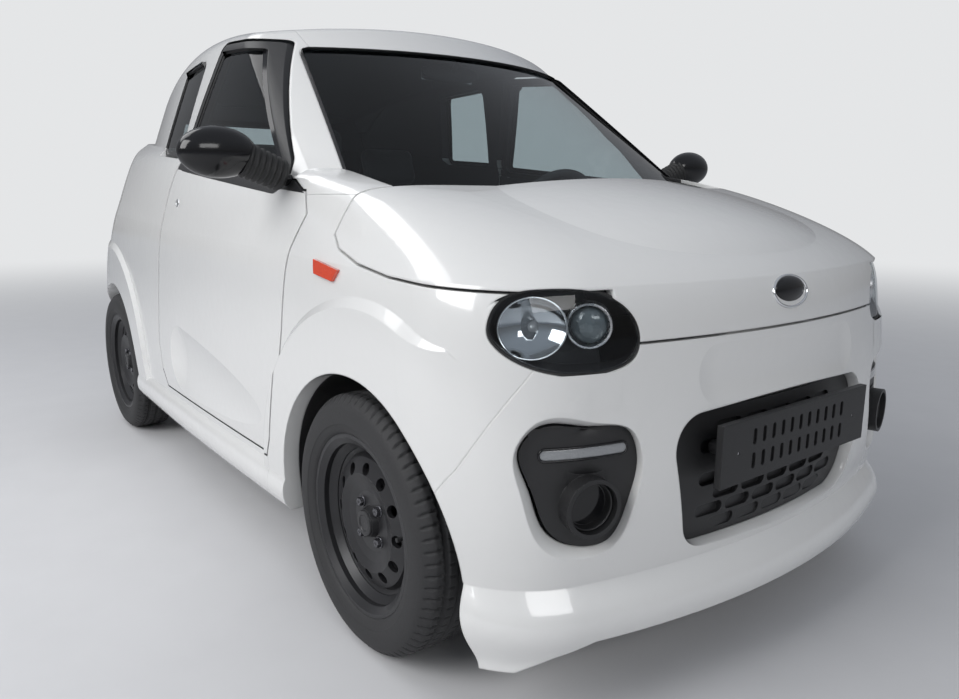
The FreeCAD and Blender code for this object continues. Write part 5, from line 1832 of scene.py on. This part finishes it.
@dataclass
class Cabin(Assembly):
    """Fittings of the dashboard, the floor, the steering wheel and the inner mirror."""

    rear_x: float = -0.2
    hood_above: Point = (0.56, 0.300, 1.4)
    hood_lift: float = 0.016
    hood: Point = (0.090, 0.250, 0.050)
    hood_rounding: float = 0.018
    dial_place: Point = (-0.0455, 0, 0.002)
    dial: Point = (0.004, 0.215, 0.034)
    dial_rounding: float = 0.0018
    vents: tuple[tuple[str, float, float], ...] = (
        ("right", -0.50, 0.80), ("middle_right", -0.105, 0.83), ("middle_left", 0.105, 0.83),
        ("left", 0.52, 0.80))
    vent_ring: Profile = ((0.036, -0.004), (0.036, 0.003), (0.032, 0.006), (0.029, 0.003), (0.028, -0.003))
    slat_reach: float = 0.028
    slat_step: float = 0.010
    slat_lift: float = 0.0005
    slat_radius: float = 0.0016
    panel_height: float = 0.755
    panel_lift: float = 0.002
    panel_size: Point = (0.012, 0.180, 0.105)
    panel_rounding: float = 0.004
    screen_lift: float = 0.0085
    screen_rise: float = 0.016
    screen_size: Point = (0.002, 0.150, 0.058)
    pane_rounding: float = 0.0009
    knob_lift: float = 0.008
    knob_places: tuple[Pair, ...] = ((-0.060, -0.034), (0.060, -0.034))
    knob: Profile = ((0.011, 0), (0.0105, 0.010), (0.009, 0.012), (0.001, 0.012))
    lever_above: Point = (0.15, 0, 1.0)
    lever_rise: Point = (0.03, 0, 0.20)
    lever_axis: Point = (0.15, 0, 1)
    gaiter: Profile = ((0.040, 0), (0.036, 0.008), (0.039, 0.014), (0.030, 0.024), (0.032, 0.030),
                       (0.022, 0.042), (0.012, 0.055), (0.008, 0.062))
    lever_knob: Profile = ((0.010, -0.012), (0.018, 0.0), (0.023, 0.016), (0.024, 0.030), (0.018, 0.042),
                           (0.004, 0.047))
    rod_radius: float = 0.006
    pads: tuple[tuple[str, float, float], ...] = (("brake", 0.33, 0.075), ("accelerator", 0.215, 0.050))
    pad_place: Pair = (0.560, 0.375)
    pad_size: Pair = (0.010, 0.070)
    pad_turn: float = 35.0
    pad_arm: tuple[Point, ...] = ((0.006, 0, 0.01), (0.030, 0, 0.10), (0.045, 0, 0.24))
    wheel_middle: Point = (0.392, 0.300, 0.862)
    wheel_tilt: float = 26.0
    hub_lift: float = 0.002
    hub_size: Point = (0.150, 0.125, 0.042)
    hub_rounding: float = 0.020
    hub_core: tuple[int, int, int] = (8, 8, 2)
    hub_ring: Profile = ((0.0225, 0), (0.0225, 0.0022), (0.0205, 0.003), (0.0185, 0.0022), (0.0185, 0))
    hub_ring_lift: float = 0.0205
    stalk_behind: float = 0.055
    stalk_out: Pair = (0.035, 0.105)
    stalk_rise: float = 0.012
    stalk_radius: float = 0.0065
    stalk_knob: Profile = ((0.0065, 0), (0.0095, 0.006), (0.0095, 0.032), (0.006, 0.037))
    mirror_start: Point = (-0.2, 0, 1.318)
    mirror_lift: float = 0.0006
    mirror_share: float = 0.90
    mirror_size: Pair = (0.002, 0.046)

    def make(self) -> None:
        """Make the fittings that show through the glass."""
        dash = Probe("dashboard")
        crest, _ = dash.find(Vector(self.hood_above), DOWN)
        hood = crest + UP * self.hood_lift
        self.keep(block("instrument_hood", hood, self.hood, Finish.CABIN_PLASTIC, self.hood_rounding))
        self.keep(block("instrument_face", hood + Vector(self.dial_place), self.dial, Finish.GLOSS_BLACK,
                        self.dial_rounding))
        for name, y, z in self.vents:
            self.vent(name, *dash.find(Vector((self.rear_x, y, z)), AHEAD))
        self.panel(*dash.find(Vector((self.rear_x, 0.0, self.panel_height)), AHEAD))
        self.lever()
        self.pedals()
        self.wheel()
        self.mirror()

    def vent(self, name: str, place: Vector, normal: Vector) -> None:
        """Make a round air vent with slats.

        Args:
            name: end of its pieces' names.
            place: its middle on the dashboard.
            normal: normal of the dashboard there.
        """
        self.keep(lathe(f"vent_ring_{name}", self.vent_ring, place, normal, Finish.GLOSS_BLACK, sides=40))
        first, second = side_axes(normal)
        for index in range(-2, 3):
            offset = index * self.slat_step
            reach = math.sqrt(self.slat_reach ** 2 - offset ** 2)
            middle = place + second * offset + normal * self.slat_lift
            path = [middle - first * reach, middle, middle + first * reach]
            self.keep(tube(f"vent_slat_{name}_{index + 2}", path, self.slat_radius, Finish.BLACK_TRIM))

    def panel(self, place: Vector, normal: Vector) -> None:
        """Make the control panel with a screen and two knobs.

        Args:
            place: its middle on the dashboard.
            normal: normal of the dashboard there.
        """
        turn = normal.to_track_quat("X", "Z").to_matrix()
        self.keep(block("panel", place + normal * self.panel_lift, self.panel_size, Finish.GLOSS_BLACK,
                        self.panel_rounding, turn))
        screen = place + normal * self.screen_lift + UP * self.screen_rise
        self.keep(block("screen", screen, self.screen_size, Finish.SMOKED_GLASS, self.pane_rounding, turn))
        for index, (y, z) in enumerate(self.knob_places):
            knob = place + normal * self.knob_lift + Vector((0, y, z))
            self.keep(lathe(f"panel_knob_{index}", self.knob, knob, normal, Finish.SATIN_SILVER, sides=28))

    def lever(self) -> None:
        """Make the gear lever with its gaiter, between the seats."""
        foot, _ = Probe("floor_pan").find(Vector(self.lever_above), DOWN)
        self.keep(lathe("lever_gaiter", self.gaiter, foot, UP, Finish.SEAL_RUBBER, sides=32))
        top = foot + Vector(self.lever_rise)
        self.keep(tube("lever_rod", [foot, foot.lerp(top, 0.5), top], self.rod_radius, Finish.BRIGHT_STEEL))
        self.keep(lathe("lever_knob", self.lever_knob, top, Vector(self.lever_axis), Finish.BLACK_TRIM,
                        sides=32))

    def pedals(self) -> None:
        """Make the brake and accelerator pads on their arms."""
        x, z = self.pad_place
        thick, tall = self.pad_size
        turn = Matrix.Rotation(math.radians(self.pad_turn), 3, "Y")
        for name, y, width in self.pads:
            foot = Vector((x, y, z))
            self.keep(block(f"{name}_pad", foot, (thick, width, tall), Finish.SEAL_RUBBER, turn=turn))
            arm = [foot + Vector(place) for place in self.pad_arm]
            self.keep(tube(f"{name}_arm", arm, self.rod_radius, Finish.DARK_METAL))

    def wheel(self) -> None:
        """Make the padded hub cover of the steering wheel and the stalks behind it."""
        tilt = math.radians(self.wheel_tilt)
        axis = Vector((-math.cos(tilt), 0, math.sin(tilt)))
        turn = axis.to_track_quat("Z", "Y").to_matrix()
        middle = Vector(self.wheel_middle)
        hub = middle + axis * self.hub_lift
        points, faces = rounded_box(self.hub_size, self.hub_rounding, self.hub_core)
        cover = make_mesh("hub_cover", [turn @ point + hub for point in points], faces, Finish.CABIN_PLASTIC)
        self.keep(cover, "steering_wheel_body")
        foot = hub + axis * self.hub_ring_lift
        self.keep(lathe("hub_ring", self.hub_ring, foot, axis, Finish.SATIN_SILVER, sides=40),
                  "steering_wheel_body")
        near, reach = self.stalk_out
        for side in Side:
            root = middle - axis * self.stalk_behind + Vector((0, side.value * near, 0))
            tip = root + Vector((0.0, side.value * reach, self.stalk_rise)) + axis * self.stalk_rise
            path = [root, root.lerp(tip, 0.5), tip]
            self.keep(tube(f"stalk_{side.word}", path, self.stalk_radius, Finish.BLACK_TRIM))
            self.keep(lathe(f"stalk_knob_{side.word}", self.stalk_knob, tip, tip - root, Finish.BLACK_TRIM,
                            sides=20))

    def mirror(self) -> None:
        """Make the glass of the inner mirror."""
        place, normal = Probe("inner_mirror").find(Vector(self.mirror_start), AHEAD)
        turn = normal.to_track_quat("X", "Z").to_matrix()
        low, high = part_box("inner_mirror")
        thick, tall = self.mirror_size
        size = (thick, (high.y - low.y) * self.mirror_share, tall)
        self.keep(block("inner_mirror_glass", place + normal * self.mirror_lift, size, Finish.MIRROR_SILVER,
                        self.pane_rounding, turn))


@dataclass
class Doors(Assembly):
    """Locks, mirror glasses and mirror bellows.

    Places are on the right side. Sleeve sizes are half axes at the outer and the
    inner end.
    """

    lock_place: Pair = (-0.196, 0.929)
    lock_start: float = 1.2
    lock: Profile = ((0.0125, -0.004), (0.0125, 0.0008), (0.0112, 0.0022), (0.0095, 0.0022),
                     (0.0088, 0.0010), (0.0005, 0.0008))
    # Gloss black bar on the lock: painted shade that stands for the dark key slit.
    slit_lift: float = 0.0010
    slit: Point = (0.0014, 0.0014, 0.008)
    slit_rounding: float = 0.0004
    mirror_middle: Point = (0.535, -0.822, 1.046)
    mirror_half: Pair = (0.080, 0.050)
    mirror_cover: Pair = (0.93, 0.90)
    mirror_rings: int = 8
    mirror_sides: int = 56
    mirror_hole: float = 0.2
    mirror_behind: float = 0.4
    mirror_miss: float = 0.36
    mirror_lift: float = 0.0008
    bellows_outer: Point = (0.542, -0.768, 1.033)
    bellows_inner: Point = (0.534, -0.674, 0.997)
    sleeve_deep: Pair = (0.026, 0.030)
    sleeve_tall: Pair = (0.038, 0.034)
    rib_depth: float = 0.0045
    ribs: int = 7
    rib_steps: int = 70
    rib_sides: int = 40

    def make(self) -> None:
        """Make the fittings of both doors."""
        for side in Side:
            self.lock_cylinder(side)
            self.mirror_glass(side)
            self.bellows(side)

    def lock_cylinder(self, side: Side) -> None:
        """Make the lock cylinder on a door skin, with a small gloss black bar on it as painted shade for its
        key slit.

        Args:
            side: side of the car.
        """
        x, z = self.lock_place
        start = Vector((x, side.value * self.lock_start, z))
        place, normal = Probe(f"door_{side.word}").find(start, Vector((0, -side.value, 0)))
        self.keep(lathe(f"door_lock_{side.word}", self.lock, place, normal, Finish.SATIN_SILVER, sides=40),
                  side.door)
        # Painted shade: a black bar stands for the dark inside of the key slit.
        slit = block(f"key_slit_{side.word}", place + normal * self.slit_lift, self.slit, Finish.GLOSS_BLACK,
                     self.slit_rounding)
        self.keep(slit, side.door)

    def mirror_glass(self, side: Side) -> None:
        """Make the silvered glass on the rear of a door mirror.

        Args:
            side: side of the car.
        """
        probe = Probe(f"door_mirror_{side.word}")
        middle = Vector(mirrored(self.mirror_middle, side))
        wide, tall = (half * cover for half, cover in zip(self.mirror_half, self.mirror_cover))
        spots, faces = disc(self.mirror_rings, self.mirror_sides, self.mirror_hole)
        points = []
        for share, turn in spots:
            start = middle + Vector((-self.mirror_behind, wide * share * math.cos(turn),
                                     tall * share * math.sin(turn)))
            spot = probe.hit(start, AHEAD)
            points.append(spot[0] + spot[1] * self.mirror_lift if spot else start + AHEAD * self.mirror_miss)
        glass = make_mesh(f"mirror_glass_{side.word}", points, faces, Finish.MIRROR_SILVER)
        self.keep(glass, side.door)

    def bellows(self, side: Side) -> None:
        """Make the ribbed rubber sleeve on a mirror's arm, taller than it is deep.

        Args:
            side: side of the car.
        """
        outer = Vector(mirrored(self.bellows_outer, side))
        along = Vector(mirrored(self.bellows_inner, side)) - outer
        axis = along.normalized()
        level = UP.cross(axis).normalized()
        rise = axis.cross(level)
        points = []
        for index in range(self.rib_steps + 1):
            share = index / self.rib_steps
            ripple = self.rib_depth * (0.5 - 0.5 * math.cos(2 * math.pi * self.ribs * share))
            deep, tall = (start + (end - start) * share + ripple
                          for start, end in (self.sleeve_deep, self.sleeve_tall))
            for turn in turns(self.rib_sides):
                points.append(outer + axis * (along.length * share) + level * (deep * math.cos(turn))
                              + rise * (tall * math.sin(turn)))
        first, last = end_caps(self.rib_steps + 1, self.rib_sides)
        faces = grid_faces(self.rib_steps + 1, self.rib_sides, False, True) + [tuple(reversed(first)), last]
        self.keep(make_mesh(f"mirror_bellows_{side.word}", points, faces, Finish.SEAL_RUBBER), side.door)


@dataclass
class TailLamps(Assembly):
    """Bezels and inner rings of the round rear lamps.

    Each ring is (name, radius, thickness).
    """

    pocket: Pocket = Pocket((-1.340, -0.614, 0.800), 135.0)
    rings: tuple[tuple[str, float, float], ...] = (("rim", 0.05184, 0.0020), ("inner_rim", 0.0297, 0.0016))
    steps: int = 48
    lift: float = 0.0004

    def make(self) -> None:
        """Make the rings of both lamps."""
        probe = Probe("tail_lamps")
        for side in Side:
            aim = self.pocket.aim(side)
            for name, radius, thick in self.rings:
                starts = [self.pocket.start(side, radius * math.cos(turn), radius * math.sin(turn))
                          for turn in turns(self.steps)]
                path = probe.track(starts, -aim, self.lift)
                self.keep(tube(f"tail_lamp_{name}_{side.word}", path, thick, Finish.CHROME, closed=True))


@dataclass
class Springs(Assembly):
    """Coil springs on the front struts, whose axis runs between two places."""

    strut_low: Point = (0.924, -0.587, 0.150)
    strut_high: Point = (0.924, -0.505, 0.662)
    foot_height: float = 0.588
    rise: float = 0.105
    coil_radius: float = 0.046
    coils: float = 4.5
    coil_steps: int = 28
    wire: float = 0.0052

    def make(self) -> None:
        """Wind a spring on each strut."""
        for side in Side:
            low = Vector(mirrored(self.strut_low, side))
            axis = (Vector(mirrored(self.strut_high, side)) - low).normalized()
            foot = low + axis * ((self.foot_height - low.z) / axis.z)
            first, second = side_axes(axis)
            path = []
            steps = int(self.coils * self.coil_steps)
            for index in range(steps + 1):
                turn = 2 * math.pi * self.coils * index / steps
                out = first * math.cos(turn) + second * math.sin(turn)
                path.append(foot + out * self.coil_radius + axis * (self.rise * index / steps))
            self.keep(tube(f"coil_spring_{side.word}", path, self.wire, Finish.DARK_METAL))


@dataclass(frozen=True)
class AreaLight:
    """Rectangular light aimed at a point."""

    name: str
    place: Point
    target: Point
    size: Pair
    power: float

    def build(self) -> None:
        """Put the light into the scene."""
        data = bpy.data.lights.new(self.name, "AREA")
        data.shape = "RECTANGLE"
        data.size, data.size_y = self.size
        data.energy = self.power
        made = bpy.data.objects.new(self.name, data)
        bpy.context.scene.collection.objects.link(made)
        aim = Vector(self.target) - Vector(self.place)
        made.location = self.place
        made.rotation_mode = "QUATERNION"
        made.rotation_quaternion = aim.to_track_quat("-Z", "Y")


@dataclass(frozen=True)
class Studio:
    """Floor, sky, lights and camera."""

    camera_place: Point = (2.2584, -1.4159, 0.9547)
    yaw: float = 52.519
    pitch: float = 11.460
    roll: float = 0.134
    focal: float = 28.59
    sensor: float = 36.0
    clip_start: float = 0.05
    floor_half: float = 60.0
    floor_tones: tuple[Colour, Colour] = ((0.60, 0.60, 0.61), (0.64, 0.64, 0.65))
    floor_grain: float = 6.0
    floor_roughness: float = 0.75
    fade: Pair = (2.2, 11.0)
    backdrop: Colour = (0.78, 0.79, 0.80)
    horizon: Colour = (0.42, 0.42, 0.43)
    zenith: Colour = (0.86, 0.91, 1.0)
    zenith_from: float = 0.6
    sky_strength: float = 0.42
    lights: tuple[AreaLight, ...] = (
        AreaLight("key", (0.5, -5.0, 3.6), (0.2, 0, 0.5), (3.2, 3.2), 190.0),
        AreaLight("front", (6.0, -1.5, 3.4), (0.8, 0, 0.5), (3.5, 1.6), 70.0),
        AreaLight("top", (-3.0, -2.5, 5.2), (0, 0, 0.6), (4.0, 3.0), 90.0))

    def camera(self) -> None:
        """Put the camera at the photograph's place."""
        yaw, pitch, roll = (math.radians(value) for value in (self.yaw, self.pitch, self.roll))
        back = Vector((math.sin(yaw) * math.cos(pitch), -math.cos(yaw) * math.cos(pitch), math.sin(pitch)))
        right = (-back).cross(UP).normalized()
        up = right.cross(-back)
        turned_right = math.cos(roll) * right + math.sin(roll) * up
        turned_up = -math.sin(roll) * right + math.cos(roll) * up
        data = bpy.data.cameras.new("camera")
        data.lens = self.focal
        data.sensor_width = self.sensor
        data.clip_start = self.clip_start
        made = bpy.data.objects.new("camera", data)
        bpy.context.scene.collection.objects.link(made)
        rotation = Matrix((turned_right, turned_up, back)).transposed().to_4x4()
        made.matrix_world = Matrix.Translation(self.camera_place) @ rotation
        bpy.context.scene.camera = made

    def floor_material(self) -> bpy.types.Material:
        """Pale floor that the camera sees fade into the backdrop."""
        shader = Shader("studio_floor")
        dark, light = self.floor_tones
        tone = shader.mix(shader.noise(self.floor_grain), opaque(dark), opaque(light))
        shader.set(Base_Color=tone, Roughness=self.floor_roughness)
        away = shader.vector("LENGTH", shader.place)
        fade = shader.node("ShaderNodeMapRange", interpolation_type="SMOOTHSTEP")
        shader.feed(fade.inputs["Value"], away.outputs["Value"])
        fade.inputs["From Min"].default_value, fade.inputs["From Max"].default_value = self.fade
        seen = shader.node("ShaderNodeLightPath").outputs["Is Camera Ray"]
        pale = shader.node("ShaderNodeEmission")
        pale.inputs["Color"].default_value = opaque(self.backdrop)
        shader.blend(shader.math("MULTIPLY", fade.outputs["Result"], seen), shader.surface, pale)
        return shader.material

    def floor(self) -> None:
        """Lay the floor under the wheels."""
        span = self.floor_half
        corners = [(-span, -span, 0), (span, -span, 0), (span, span, 0), (-span, span, 0)]
        made = make_mesh("floor", corners, [(0, 1, 2, 3)], Finish.CABIN_PLASTIC, smooth=False)
        made.data.materials.clear()
        made.data.materials.append(self.floor_material())

    def world(self) -> None:
        """Set a sky that is brighter overhead, with an even backdrop for the camera."""
        world = bpy.data.worlds.new("studio")
        world.use_nodes = True
        bpy.context.scene.world = world
        tree = world.node_tree
        background = tree.nodes["Background"]
        place = tree.nodes.new("ShaderNodeTexCoord")
        split = tree.nodes.new("ShaderNodeSeparateXYZ")
        ramp = tree.nodes.new("ShaderNodeValToRGB")
        tree.links.new(place.outputs["Generated"], split.inputs[0])
        tree.links.new(split.outputs["Z"], ramp.inputs["Fac"])
        tree.links.new(ramp.outputs["Color"], background.inputs["Color"])
        stops = zip(ramp.color_ramp.elements, (self.horizon, self.zenith), (0.0, self.zenith_from))
        for element, colour, position in stops:
            element.color = opaque(colour)
            element.position = position
        background.inputs["Strength"].default_value = self.sky_strength
        rays = tree.nodes.new("ShaderNodeLightPath")
        pale = tree.nodes.new("ShaderNodeBackground")
        pale.inputs["Color"].default_value = opaque(self.backdrop)
        shown = tree.nodes.new("ShaderNodeMixShader")
        tree.links.new(rays.outputs["Is Camera Ray"], shown.inputs[0])
        tree.links.new(background.outputs[0], shown.inputs[1])
        tree.links.new(pale.outputs[0], shown.inputs[2])
        tree.links.new(shown.outputs[0], tree.nodes["World Output"].inputs["Surface"])

    def build(self) -> None:
        """Set up the studio."""
        self.floor()
        self.world()
        for light in self.lights:
            light.build()
        self.camera()
        bpy.context.scene.view_settings.view_transform = "Standard"


def main() -> None:
    """Build every sub-assembly in order and report its pieces."""
    logging.basicConfig(level=logging.INFO, format="%(message)s")
    Studio().build()
    log.info("nodes finished: %d", finish_frame())
    for kind in (Wheels, Springs, Seats, Cabin, Doors, Headlamps, FogPods, Nose, TailLamps, Seals):
        for piece in kind().build():
            log.info("%s: %s, %d faces", kind.__name__, piece.name, len(piece.data.polygons))


if __name__ == "__main__":
    main()
